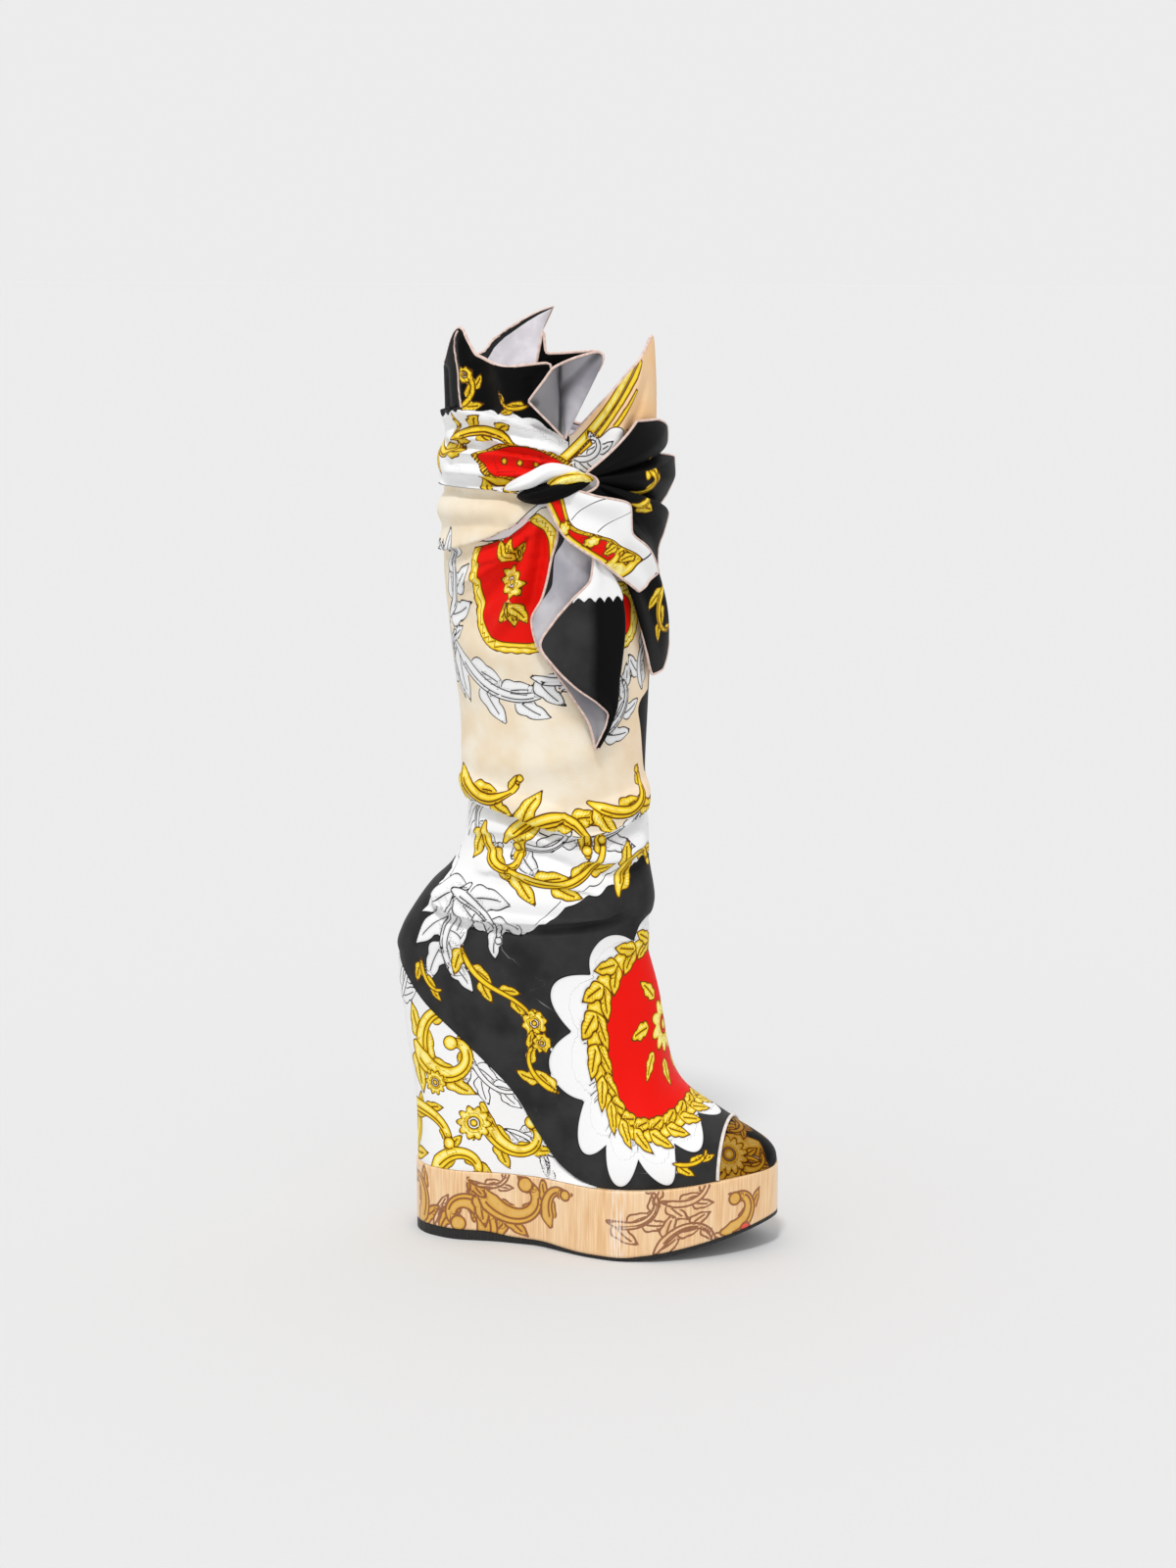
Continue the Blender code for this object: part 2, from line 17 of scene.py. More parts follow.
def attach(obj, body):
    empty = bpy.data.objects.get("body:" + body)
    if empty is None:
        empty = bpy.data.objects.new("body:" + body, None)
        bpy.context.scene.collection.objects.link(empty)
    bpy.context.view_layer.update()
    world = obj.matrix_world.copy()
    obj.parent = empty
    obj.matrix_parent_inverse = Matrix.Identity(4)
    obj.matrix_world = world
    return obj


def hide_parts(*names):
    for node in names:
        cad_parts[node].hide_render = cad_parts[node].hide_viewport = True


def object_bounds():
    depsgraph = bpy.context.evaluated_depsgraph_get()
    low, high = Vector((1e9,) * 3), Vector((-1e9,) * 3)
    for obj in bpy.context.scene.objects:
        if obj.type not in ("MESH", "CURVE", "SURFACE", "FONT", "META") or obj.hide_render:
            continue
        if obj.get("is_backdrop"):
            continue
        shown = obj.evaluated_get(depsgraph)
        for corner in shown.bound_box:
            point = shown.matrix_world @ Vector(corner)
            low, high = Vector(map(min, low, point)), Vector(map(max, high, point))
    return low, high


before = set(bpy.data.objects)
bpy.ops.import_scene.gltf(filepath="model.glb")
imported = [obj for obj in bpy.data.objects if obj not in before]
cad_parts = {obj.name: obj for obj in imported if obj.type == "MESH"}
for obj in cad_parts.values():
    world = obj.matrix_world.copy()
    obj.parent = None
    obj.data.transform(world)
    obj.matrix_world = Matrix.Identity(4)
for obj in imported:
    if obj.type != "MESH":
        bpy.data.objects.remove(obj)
cad_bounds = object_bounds()
MM = 0.001
print("CAD box in mm:", [[round(value / MM, 1) for value in corner] for corner in cad_bounds])

# %% [markdown]
# ## The last
#
# A shoe takes its shape from a last, the form that it is built over. It could be sculpted, but a
# fair curve through a few rows of a table gives every section in between and is easy to correct.
# The tables below are the same ones that the solids came from, so each finer skin lies where its
# solid does. Only the rim differs: its notch is cut deeper, because the corner beside it is a piece
# of its own here.

# %% Driving sizes and the sole
GAP = 0.3
WALL = 1.8
HEEL_BACK = -34.0
TOE_TIP = 178.2
PLATFORM_TOP = 41.0
BALL = 96.0
WEDGE_FRONT = 84.0
WEDGE_TIP = -41.4
TOE_SEAM_X = 150.5
SHAFT_END = 456.0
FINE_STEPS = 2000


def table(columns, rows, defaults=()):
    """Rows of numbers with names for their columns."""
    Row = namedtuple("Row", columns, defaults=defaults)
    return [Row(*row) for row in rows]


PLATFORM_PLAN = table("x outer inner", [
    (HEEL_BACK, 0, 0),
    (-30, 16.5, 15.5),
    (-19, 27, 25),
    (0, 32, 29.5),
    (22, 30.6, 28.2),
    (42, 32.4, 27.8),
    (62, 39.4, 30.8),
    (82, 46.2, 37.2),
    (96, 48.4, 42.2),
    (115, 46.2, 46),
    (135, 39, 45.2),
    (151, 29.6, 39.4),
    (164, 19, 32),
    (173, 7.6, 23),
    (TOE_TIP, -7, 7),
])
TREAD_LINE = table("x floor rubber", [
    (HEEL_BACK, 0, 6.2),
    (12, 0, 6),
    (28, 0, 4),
    (50, 1.4, 2.2),
    (74, 0, 2),
    (98, 0, 2),
    (113, 1.8, 2),
    (128, 4.5, 2),
    (143, 7.8, 2),
    (157, 11.4, 2),
    (168, 14.6, 2),
    (TOE_TIP, 17.8, 2),
])
print("the sole is", TOE_TIP - HEEL_BACK, "mm long")

# %% Sections of the last
SECTIONS = table("base_x base_z top_x top_z half_width base_share fullness", [
    (177, 47.5, 177.6, 51, 5, 1, 1),
    (174.8, 47.4, 176, 55.6, 12, 1, 1),
    (170, 47.1, 171, 61.2, 18.8, 1, 1),
    (161, 46.3, 161.2, 67, 26.2, 1, 1),
    (TOE_SEAM_X, 45.2, TOE_SEAM_X, 72.6, 32.8, 1, 1),
    (136, 43.6, 137.4, 80.8, 39.8, 1, 1),
    (120, 42.3, 125.2, 89, 43.6, 0.995, 1),
    (104, 41.6, 118.6, 97.5, 44.4, 0.99, 1),
    (90, 41.4, 115.4, 107.4, 42.6, 0.985, 1),
    (76, 43.4, 113.4, 118.6, 39.4, 0.975, 1),
    (62, 50.5, 111.8, 130.6, 36.4, 0.95, 1),
    (48, 67.5, 110, 142.6, 34.8, 0.92, 0.95),
    (31, 91.5, 107.6, 154, 34.2, 0.90, 0.9),
    (12.7, 109, 105.2, 163, 34.6, 0.88, 0.85),
    (-4.7, 124, 103.2, 170.8, 35.2, 0.84, 0.8),
    (-22, 138.5, 102.6, 178.5, 36, 0.73, 0.78),
    (-34.6, 152, 104, 186, 36.6, 0.52, 0.76),
    (-41.2, 161, 105.2, 190.5, 37, 0.30, 0.75),
    (-44.2, 168.5, 106, 194.5, 37.4, 0, 0.75),
    (-41, 179, 106.8, 201, 37.8, 0, 0.76),
    (-34.2, 191, 105.9, 209, 38.2, 0, 0.8),
    (-23.5, 206, 104.4, 217, 38.6, 0, 0.86),
    (-11, 218.5, 103.2, 225, 39.2, 0, 0.92),
    (-5, 230, 103.2, 233, 40, 0, 0.97),
    (-2, 245, 102.6, 245, 41, 0, 1),
    (-1, 258, 101.4, 258, 42, 0, 1),
    (-3.2, 272, 100.6, 272, 43.2, 0, 1),
    (-5.4, 306, 101.8, 306, 46, 0, 1),
    (-10.8, 352, 103.8, 352, 50, 0, 1),
    (-14.2, 396, 105.4, 396, 52.6, 0, 1),
    (-14, 432, 106.4, 432, 54, 0, 1),
    (-12.4, SHAFT_END, 106, SHAFT_END, 54.4, 0, 1),
])
CENTRE_LINE = table("x inward", [
    (-45, 0),
    (25, -0.5),
    (60, -3.2),
    (85, -3.2),
    (105, -0.6),
    (120, 1.8),
    (150.5, 5.6),
    (165, 6.8),
    (TOE_TIP, 7),
])
WEDGE_BACK = table("z x", [
    (41, -33.2),
    (68, -33.7),
    (88, -35.2),
    (110, -38.9),
    (132, -41.8),
    (150, -44.6),
    (168, -45),
])
print(len(SECTIONS), "sections from the toe to the collar")

# %% Rim and wraps
# Angles go round the shaft in degrees: 0 is the front, -90 the outer side and 180 the back.
# Turn shifts a tip of the rim sideways.
RIM = table("angle height flare turn", [
    (-180, 497, 1),
    (-156, 503, 1),
    (-130, 522, 3),
    (-116, 507, 4),
    (-96, 502, 7),
    (-77, 504, 6),
    (-69, 467, 1),
    (-66, 465, 0),
    (-58, 472, 0),
    (-50, 480, 0),
    (-40, 489, 0),
    (-31, 497, 0),
    (-18, 506, 0),
    (-3, 517, 0),
    (6, 494, 0),
    (20, 468, 0),
    (50, 460, 0),
    (84, 464, 1),
    (100, 470, 2),
    (108.5, 484, 3),
    (111.5, 503, 3),
    (113.5, 517, 3, -4.5),
    (116.5, 531, 4, -14.5),
    (119.5, 528.5, 4, -10.5),
    (125, 523, 3, -5),
    (133, 516, 2, -1.5),
    (138, 511.5, 2),
    (142, 506.5, 2),
    (160, 502, 2),
    (180, 497, 1),
], defaults=(0,))
FOLDS = table("angle_a height_a half_a angle_b height_b half_b rise", [
    (-80, 447, 8, -300, 454, 17, 4.4),
    (-84, 424, 6, -300, 416, 14, 2.4),
    (-70, 252, 7, -165, 272, 9, 2.4),
    (-70, 252, 7, 20, 266, 9, 2),
    (-150, 206, 6, -30, 204, 8, 1.6),
])
FOLD_FADE = 0.125
print("the rim is highest at", max(row.height for row in RIM), "mm")

# %% Fair curves


def column(rows, name):
    return np.array([getattr(row, name) for row in rows], float)


def smooth(knots, values, at):
    """Values of a fair curve through the rows: a cubic that never overshoots them."""
    knots = np.asarray(knots, float)
    values = np.asarray(values, float)
    at = np.clip(at, knots[0], knots[-1])
    secants = np.diff(values) / np.diff(knots)
    before, after = secants[:-1], secants[1:]
    rising = before * after > 0
    mean = 2 * before * after / np.where(rising, before + after, 1)
    slopes = np.concatenate([secants[:1], np.where(rising, mean, 0), secants[-1:]])
    row = np.clip(np.searchsorted(knots, at, side="right") - 1, 0, len(knots) - 2)
    step = knots[row + 1] - knots[row]
    t = (at - knots[row]) / step
    start = (1 + 2 * t) * (1 - t) ** 2 * values[row] + t * (1 - t) ** 2 * step * slopes[row]
    end = t**2 * (3 - 2 * t) * values[row + 1] + t**2 * (t - 1) * step * slopes[row + 1]
    return start + end


def curve(rows, knot, name, at):
    """One column of a table as a fair curve over another one."""
    return smooth(column(rows, knot), column(rows, name), at)


def curves(rows, knot, at):
    """Every column of a table as a fair curve over one of them."""
    return {name: curve(rows, knot, name, at) for name in rows[0]._fields}


def curves_by_row(rows, at):
    """Every column of a table as a fair curve over the row's number."""
    return [smooth(np.arange(len(rows)), column(rows, name), at) for name in rows[0]._fields]


print("the rubber under the ball is", curve(TREAD_LINE, "x", "rubber", BALL), "mm thick")

# %% Along the last


def section_stations():
    """A running length along the last for each section, midway between its base and its top."""
    base = np.stack([column(SECTIONS, "base_x"), column(SECTIONS, "base_z")])
    top = np.stack([column(SECTIONS, "top_x"), column(SECTIONS, "top_z")])
    steps = (np.hypot(*np.diff(base)) + np.hypot(*np.diff(top))) / 2
    return np.concatenate([[0], np.cumsum(steps)])


STATIONS = section_stations()
SEAM_STATION = STATIONS[column(SECTIONS, "base_x").tolist().index(TOE_SEAM_X)]
BACK_STATION = STATIONS[column(SECTIONS, "base_share").tolist().index(0.0)]


def last(name, station):
    return smooth(STATIONS, column(SECTIONS, name), station)


def shaft_station(height):
    fine = np.linspace(BACK_STATION, STATIONS[-1], FINE_STEPS)
    return np.interp(height, last("base_z", fine), fine)


def centre_line(x):
    return curve(CENTRE_LINE, "x", "inward", x)


def footbed_station(x):
    fine = np.linspace(BACK_STATION, STATIONS[0], FINE_STEPS)
    return np.interp(x, last("base_x", fine), fine)


def footbed(x):
    return last("base_z", footbed_station(x))


def footbed_half_width(x):
    station = footbed_station(x)
    return last("half_width", station) * last("base_share", station)


def platform_side(x, side):
    """Half the platform's width on one side, with round ends."""
    knots = np.arccos(1 - 2 * (column(PLATFORM_PLAN, "x") - HEEL_BACK) / (TOE_TIP - HEEL_BACK))
    place = np.arccos(np.clip(1 - 2 * (x - HEEL_BACK) / (TOE_TIP - HEEL_BACK), -1, 1))
    return smooth(knots, column(PLATFORM_PLAN, side), place)


def tread(name, x):
    return curve(TREAD_LINE, "x", name, x)


print("the last runs", round(STATIONS[-1]), "mm from the toe to the collar")

# %% Points on the upper


def fold_rise(angle, height):
    """How far the wraps lift the wall at an angle and a height."""
    rise = np.zeros(np.broadcast(angle, height).shape)
    for fold in FOLDS:
        run = fold.angle_b - fold.angle_a
        ahead = (np.asarray(angle) - fold.angle_a) % (360 * np.sign(run))
        along = np.clip(ahead / run, 0, 1)
        middle = fold.height_a + along * (fold.height_b - fold.height_a)
        half = fold.half_a + along * (fold.half_b - fold.half_a)
        across = np.clip(1 - ((height - middle) / half) ** 2, 0, 1)
        ends = np.clip(along / FOLD_FADE, 0, 1) * np.clip((1 - along) / FOLD_FADE, 0, 1)
        rise = np.maximum(rise, fold.rise * across**1.5 * ends)
    return rise


def upper_points(stations, turns, inset=0.0, folded=1.0):
    """Rows of points on the upper's outer face, from the outer edge over to the inner one, and
    the angle of each point round its section."""
    station, turn = np.meshgrid(stations, turns, indexing="ij")
    fullness = last("fullness", station)
    share = np.clip(last("base_share", station), 0, 1)
    start = np.arcsin(share ** (1 / fullness))
    outer = turn < 0.5
    opening = start + (np.pi - start) * 2 * np.where(outer, turn, 1 - turn)
    angle = np.degrees(opening - np.pi) * np.where(outer, 1, -1)
    climb = (np.cos(start) - np.cos(opening)) / (1 + np.cos(start))
    base = np.stack([last("base_x", station), last("base_z", station)], -1)
    top = np.stack([last("top_x", station), last("top_z", station)], -1)
    lean = top - base
    length = np.linalg.norm(lean, axis=-1, keepdims=True)
    place = base + lean * (1 - inset / length) * climb[..., None]
    rise = folded * fold_rise(angle, place[..., 1])
    place += lean / length * (rise * -np.cos(opening))[..., None]
    round_back = np.where(opening < np.pi / 2, fullness, 1.0)
    width = (last("half_width", station) - inset + rise) * np.abs(np.sin(opening)) ** round_back
    across = centre_line(place[..., 0]) + np.where(outer, -width, width)
    return np.stack([place[..., 0], across, place[..., 1]], -1), angle


def shaft_point(angle, height, out):
    """A point that lies out from the shaft's wall, where its sections are level."""
    station = shaft_station(np.minimum(height, SHAFT_END))
    back, front = last("base_x", station), last("top_x", station)
    turn = np.radians(angle)
    x = (front + back) / 2 + ((front - back) / 2 + out) * np.cos(turn)
    y = (last("half_width", station) + out) * np.sin(turn) + centre_line(x)
    return np.stack(np.broadcast_arrays(x, y, height), -1)


def collar_lean(angle, height):
    """How far the collar leans out at an angle and a height."""
    rim = curve(RIM, "angle", "height", angle)
    flare = curve(RIM, "angle", "flare", angle)
    return flare * np.clip((height - SHAFT_END) / (rim - SHAFT_END), 0, 1) ** 1.5


print("the front of the shaft ends at", shaft_point(0, SHAFT_END, 0).round(1))

# %% [markdown]
# ## Grids, pieces and tubes
#
# Cloth is easiest to make as a grid of points, row by row. A grid becomes a skin, or with a second
# grid behind it a thin slab with closed edges. Hems and piping are tubes along a path. Blender's
# curves and modifiers could do the same. Points in arrays are chosen because the print and the
# creases are worked out on the same points.

# %% Grids


def grid_normals(points):
    normals = np.cross(np.gradient(points, axis=1), np.gradient(points, axis=0))
    return normals / np.maximum(np.linalg.norm(normals, axis=-1, keepdims=True), 1e-9)


def point_numbers(rows, columns):
    return np.arange(rows * columns).reshape(rows, columns)


def quads(index):
    """Four corners for each cell of a grid of point numbers."""
    cells = [index[:-1, :-1], index[:-1, 1:], index[1:, 1:], index[1:, :-1]]
    return np.stack(cells, -1).reshape(-1, 4)


def grid_faces(rows, columns, closed_rows=None):
    """The cells of a grid. In the closed rows, the last column meets the first."""
    index = point_numbers(rows, columns)
    if closed_rows is not None:
        index[closed_rows, -1] = index[closed_rows, 0]
    return quads(index)


def border(grid):
    """The values along the edge of a grid, once round."""
    return np.concatenate([grid[0], grid[1:, -1], grid[-1, -2::-1], grid[-2:0:-1, 0]])


print("a grid of 3 by 4 points has", len(grid_faces(3, 4)), "faces")

# %% Pieces, slabs and tubes


def add_piece(name, points, faces, material, replaces=(), fields=None):
    """A piece of the boot from points in millimetres. fields are values for each point that its
    material reads."""
    corners = np.concatenate([np.ravel(face) for face in faces])
    used, corners = np.unique(corners, return_inverse=True)
    ends = np.cumsum([len(face) for face in faces])[:-1]
    mesh = bpy.data.meshes.new(name)
    mesh.from_pydata((points[used] * MM).tolist(), [], [c.tolist() for c in np.split(corners, ends)])
    mesh.materials.append(material)
    for key, values in (fields or {}).items():
        layer = mesh.attributes.new(key, "FLOAT", "POINT")
        layer.data.foreach_set("value", values[used].astype(np.float32))
    mesh.shade_smooth()
    piece = bpy.data.objects.new(name, mesh)
    bpy.context.scene.collection.objects.link(piece)
    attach(piece, "root")
    if replaces:
        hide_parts(*replaces)
    print(f"{name}: {len(used)} points, {len(faces)} faces")
    return piece


def slab(points, thickness):
    """A grid given a thickness: the points of its front and then its back, and its faces."""
    rows, columns = points.shape[:2]
    half = grid_normals(points) * thickness / 2
    both = np.concatenate([(points + half).reshape(-1, 3), (points - half).reshape(-1, 3)])
    front = grid_faces(rows, columns)
    count = rows * columns
    edge = border(point_numbers(rows, columns))
    after = np.roll(edge, -1)
    rim = np.stack([after, edge, edge + count, after + count], -1)
    return both, np.concatenate([front, front[:, ::-1] + count, rim])


SLANT = (0.3, 0.5, 0.8)  # a direction that no path here starts in


def tube(path, radius, sides=8, closed=False):
    """Points and faces of a round tube along a path."""
    before = np.roll(path, 1, 0) if closed else np.concatenate([path[:1], path[:-1]])
    after = np.roll(path, -1, 0) if closed else np.concatenate([path[1:], path[-1:]])
    run = after - before
    run /= np.linalg.norm(run, axis=1, keepdims=True)
    guide = np.cross(run[0], SLANT)
    rings = []
    turn = np.linspace(0, 2 * np.pi, sides, endpoint=False)
    for place, way in zip(path, run):
        guide = guide - way * (guide @ way)
        guide /= np.linalg.norm(guide)
        other = np.cross(way, guide)
        ring = np.outer(np.cos(turn), guide) + np.outer(np.sin(turn), other)
        rings.append(place + radius * ring)
    rows = len(rings) + closed
    index = point_numbers(len(rings), sides)
    index = index[np.arange(rows) % len(rings)][:, np.arange(sides + 1) % sides]
    faces = list(quads(index))
    if not closed:
        faces += [index[0, -2::-1], index[-1, :-1]]
    return np.concatenate(rings), faces


def add_tube(name, path, radius, material, replaces, sides=8, closed=False):
    points, faces = tube(path, radius, sides, closed)
    return add_piece(name, points, faces, material, replaces)


def evenly(path, step):
    """The same path with points at equal steps."""
    run = np.concatenate([[0], np.cumsum(np.linalg.norm(np.diff(path, axis=0), axis=1))])
    at = np.linspace(0, run[-1], max(int(run[-1] / step), 3))
    return np.stack([np.interp(at, run, path[:, axis]) for axis in range(3)], -1)


# %% [markdown]
# ## A cloth that can be printed
#
# A print is drawn on the flat cloth before the boot is made. It could be a painted picture. Here
# each shape of the print is laid on the grid as a distance instead: below 0 inside the shape, above
# 0 outside. Distances stay smooth between grid points, so the material can cut sharp edges from
# them at any zoom. A shape covers what was laid before it, and its edge gets an ink line.

# %% Cloth with a print
FILLS = ("gold", "leaf", "white", "red", "black", "beige", "grey")
INKS = ("ground_ink", "leaf_ink", "stem_ink", "vein_ink")
FAR = 60.0  # a distance far outside any shape
HATCH = 1.9  # from one engraved line to the next
HATCH_SPILL = 1.0  # how far a shape's hatching runs on past its edge
FACING = 0.05  # a patch keeps the points that face at least this much the same way
UP = np.array([0.0, 0.0, 1.0])


class Cloth:
    """A grid of points with the distances of its print."""

    def __init__(self, points, ground, outward=1):
        self.rows, self.columns = points.shape[:2]
        self.points = points.reshape(-1, 3)
        self.normals = outward * grid_normals(points).reshape(-1, 3)
        self.fields = {name: np.full(len(self.points), FAR) for name in (*FILLS, *INKS, "scuff")}
        if ground:
            self.fields[ground][:] = -FAR
        self.fields["hatch"] = np.full(len(self.points), HATCH / 2)
        for axis, name in ((1, "warp"), (0, "weft")):
            steps = np.linalg.norm(np.diff(points, axis=axis), axis=-1)
            run = np.cumsum(np.insert(steps, 0, 0, axis=axis), axis=axis)
            self.fields[name] = run.reshape(-1)
        self.tree = KDTree(len(self.points))
        for index, point in enumerate(self.points):
            self.tree.insert(point, index)
        self.tree.balance()

    def nearest(self, point):
        return self.tree.find(point)[1]

    def on_side(self, x, z, side):
        """The grid point at a place in the side view, on the outer (-1) or the inner (1) side."""
        away = (self.points[:, 0] - x) ** 2 + (self.points[:, 2] - z) ** 2
        return int(np.argmin(away + np.where(self.normals[:, 1] * side > 0, 0, FAR**2)))

    def patch(self, spot, reach, turn=0.0):
        """The grid points near a spot, and how far along and across they lie from it. Along points
        to the right as seen from outside, and turn raises it, in degrees."""
        normal = self.normals[spot]
        arm = self.points - self.points[spot]
        near = np.linalg.norm(arm, axis=1) < reach
        near = np.flatnonzero(near & (self.normals @ normal > FACING))
        arm = arm[near]
        rise = UP - normal * normal[2]
        rise /= np.linalg.norm(rise)
        right = np.cross(rise, normal)
        along = np.cos(np.radians(turn)) * right + np.sin(np.radians(turn)) * rise
        flat = np.stack([arm @ along, arm @ np.cross(normal, along)])
        stretch = np.linalg.norm(arm, axis=1) / np.maximum(np.hypot(*flat), 1e-6)
        return near, *(flat * stretch)

    def side_patch(self, spot, side, reach, turn=0.0):
        """The patch round a spot that has an x and a z in the side view."""
        return self.patch(self.on_side(spot.x, spot.z, side), reach, turn)

    def lay(self, colour, near, distance, hatch=None, layer="ground_ink"):
        """Print a shape over what is there. Without a colour it is an outline only. Shapes that
        cross have their outlines on different layers of ink."""
        if colour:
            for name in FILLS:
                field = self.fields[name]
                if name == colour:
                    field[near] = np.minimum(field[near], distance)
                else:
                    field[near] = np.maximum(field[near], -distance)
        for name in INKS:
            ink = self.fields[name][near]
            if name == layer:
                nearer = (distance < 0) | (distance < np.abs(ink))
                self.fields[name][near] = np.where(nearer, distance, ink)
            else:
                self.fields[name][near] = np.where(distance < 0, np.copysign(FAR, ink), ink)
        if hatch is not None:
            old = self.fields["hatch"][near]
            self.fields["hatch"][near] = np.where(distance < HATCH_SPILL, hatch, old)

    def draw(self, field, near, offset):
        """A thin line, from signed distances to it."""
        old = self.fields[field][near]
        self.fields[field][near] = np.where(np.abs(offset) < np.abs(old), offset, old)


print("a cloth has", len(FILLS), "colours and", len(INKS), "layers of ink")

# %% Leaves and flowers
LEAF_WIDTH = 0.56  # at its widest, as a share of its length
LEAF_TIP = 0.7  # below 1, the widest place is nearer to the stem
LOBE_DEPTH = 0.28
MIDRIB = (0.08, 0.8)
VEIN_SLANT = 0.9
PETAL_DEPTH = 0.32
SLOPE_LEAF, SLOPE_PETAL = 0.9, 0.85  # keep the distance true beside slanted edges


def turned(along, across, way):
    """Places along and across a direction, in radians."""
    return along * np.cos(way) + across * np.sin(way), across * np.cos(way) - along * np.sin(way)


def print_leaf(cloth, colour, near, along, across, length, bend=0.0, lobes=2):
    """A leaf that starts at 0 and bends sideways, with a lobed edge, side veins and a midrib."""
    share = np.clip(along / length, 0, 1)
    rib = across - bend * length * share**2
    off = np.abs(rib)
    half = LEAF_WIDTH * length / 2 * np.sin(np.pi * share**LEAF_TIP)
    half *= 1 - LOBE_DEPTH + LOBE_DEPTH * np.abs(np.sin(np.pi * lobes * share))
    past = np.maximum(-along, along - length)
    distance = np.where(past > 0, np.hypot(off, past), (off - half) * SLOPE_LEAF)
    cloth.lay(colour, near, distance, along - VEIN_SLANT * off, "leaf_ink")
    inside = (share > MIDRIB[0]) & (share < MIDRIB[1]) & (distance < 0)
    cloth.draw("vein_ink", near[inside], rib[inside])


def rosette_shape(along, across, radius, petals):
    """Distance from a flower with round petals, and from its middle."""
    reach = np.hypot(along, across)
    turn = np.arctan2(across, along)
    edge = radius * (1 - PETAL_DEPTH + PETAL_DEPTH * np.abs(np.cos(petals * turn / 2)))
    return (reach - edge) * SLOPE_PETAL, reach


HEART_SIZE, BUTTON_SIZE = 0.34, 0.2


def print_rosette(cloth, near, along, across, radius, colour, heart="white", petals=8):
    """A flower with a heart in another colour and a button in its own."""
    cloth.lay(colour, near, *rosette_shape(along, across, radius, petals), "stem_ink")
    reach = np.hypot(along, across)
    if colour:
        cloth.lay(heart, near, reach - HEART_SIZE * radius, layer="leaf_ink")
    cloth.lay(colour, near, reach - BUTTON_SIZE * radius, layer="stem_ink")


print("a leaf of 20 mm is", round(20 * LEAF_WIDTH, 1), "mm wide")

# %% Stems and sprays


def stem_path(length, bend, curl, steps=28):
    """A stem through 0 whose heading changes by bend evenly and by curl towards its tip."""
    share = np.linspace(0, 1, steps)
    heading = bend * (share - 0.5) + curl * share**3
    heading -= heading[steps // 2]
    path = np.cumsum(np.stack([np.cos(heading), np.sin(heading)], -1), axis=0)
    path *= length / steps
    return path - path[steps // 2], heading


def beside_path(places, path):
    """How far places lie from a path, and at which share of it. Then the closest step of the path,
    and the arm from its start to the place."""
    arm = places[:, None] - path[:-1]
    steps = np.diff(path, axis=0)
    share = np.clip((arm * steps).sum(-1) / np.maximum((steps**2).sum(-1), 1e-6), 0, 1)
    gap = np.linalg.norm(arm - share[..., None] * steps, axis=-1)
    closest = gap.argmin(1)
    row = np.arange(len(places))
    run = (closest + share[row, closest]) / len(steps)
    return gap[row, closest], run, steps[closest], arm[row, closest]


STROKE_START = 0.35  # a stroke starts at this share of its width
STROKE_SWELL = 4.0  # and then widens by this share over its length, up to its full width


def stroke_shape(along, across, path, half_start, half_end):
    """A tapering stroke along a path: distance, signed offset from its middle, and length run."""
    gap, run, step, arm = beside_path(np.stack([along, across], -1), path)
    left = step[:, 0] * arm[:, 1] - step[:, 1] * arm[:, 0]
    half = half_start + (half_end - half_start) * run
    half *= np.clip(STROKE_START + STROKE_SWELL * run, 0, 1)
    length = np.linalg.norm(np.diff(path, axis=0), axis=1).sum()
    return gap - half, np.where(left < 0, -gap, gap), run * length


# A spray's place is an angle and a height on the shaft, or x and z in the side view
SPRAY_PARTS = "a b colour turn length bend curl stem leaves leaf bloom"
Spray = namedtuple("Spray", SPRAY_PARTS, defaults=(0,))
THIN_STEM = 1.0  # half the width of the thinnest stem's tip
STEM_TAPER = 0.4
GROOVED_STEM = 2.3  # a stem wider than this has a groove and ends in a bud
GROOVE = (0.12, 0.8)
GROOVE_SHIFT = 0.35
BUD_SIZE = 0.68
LEAF_ANGLE = 0.7  # between a leaf and its stem, in radians
LEAF_BEND = 0.3
FIRST_LEAF = 0.4  # how far along its share of the stem each leaf sits
LEAF_SIZES = (1.05, 0.45)  # the first leaf, and how much smaller the last would be


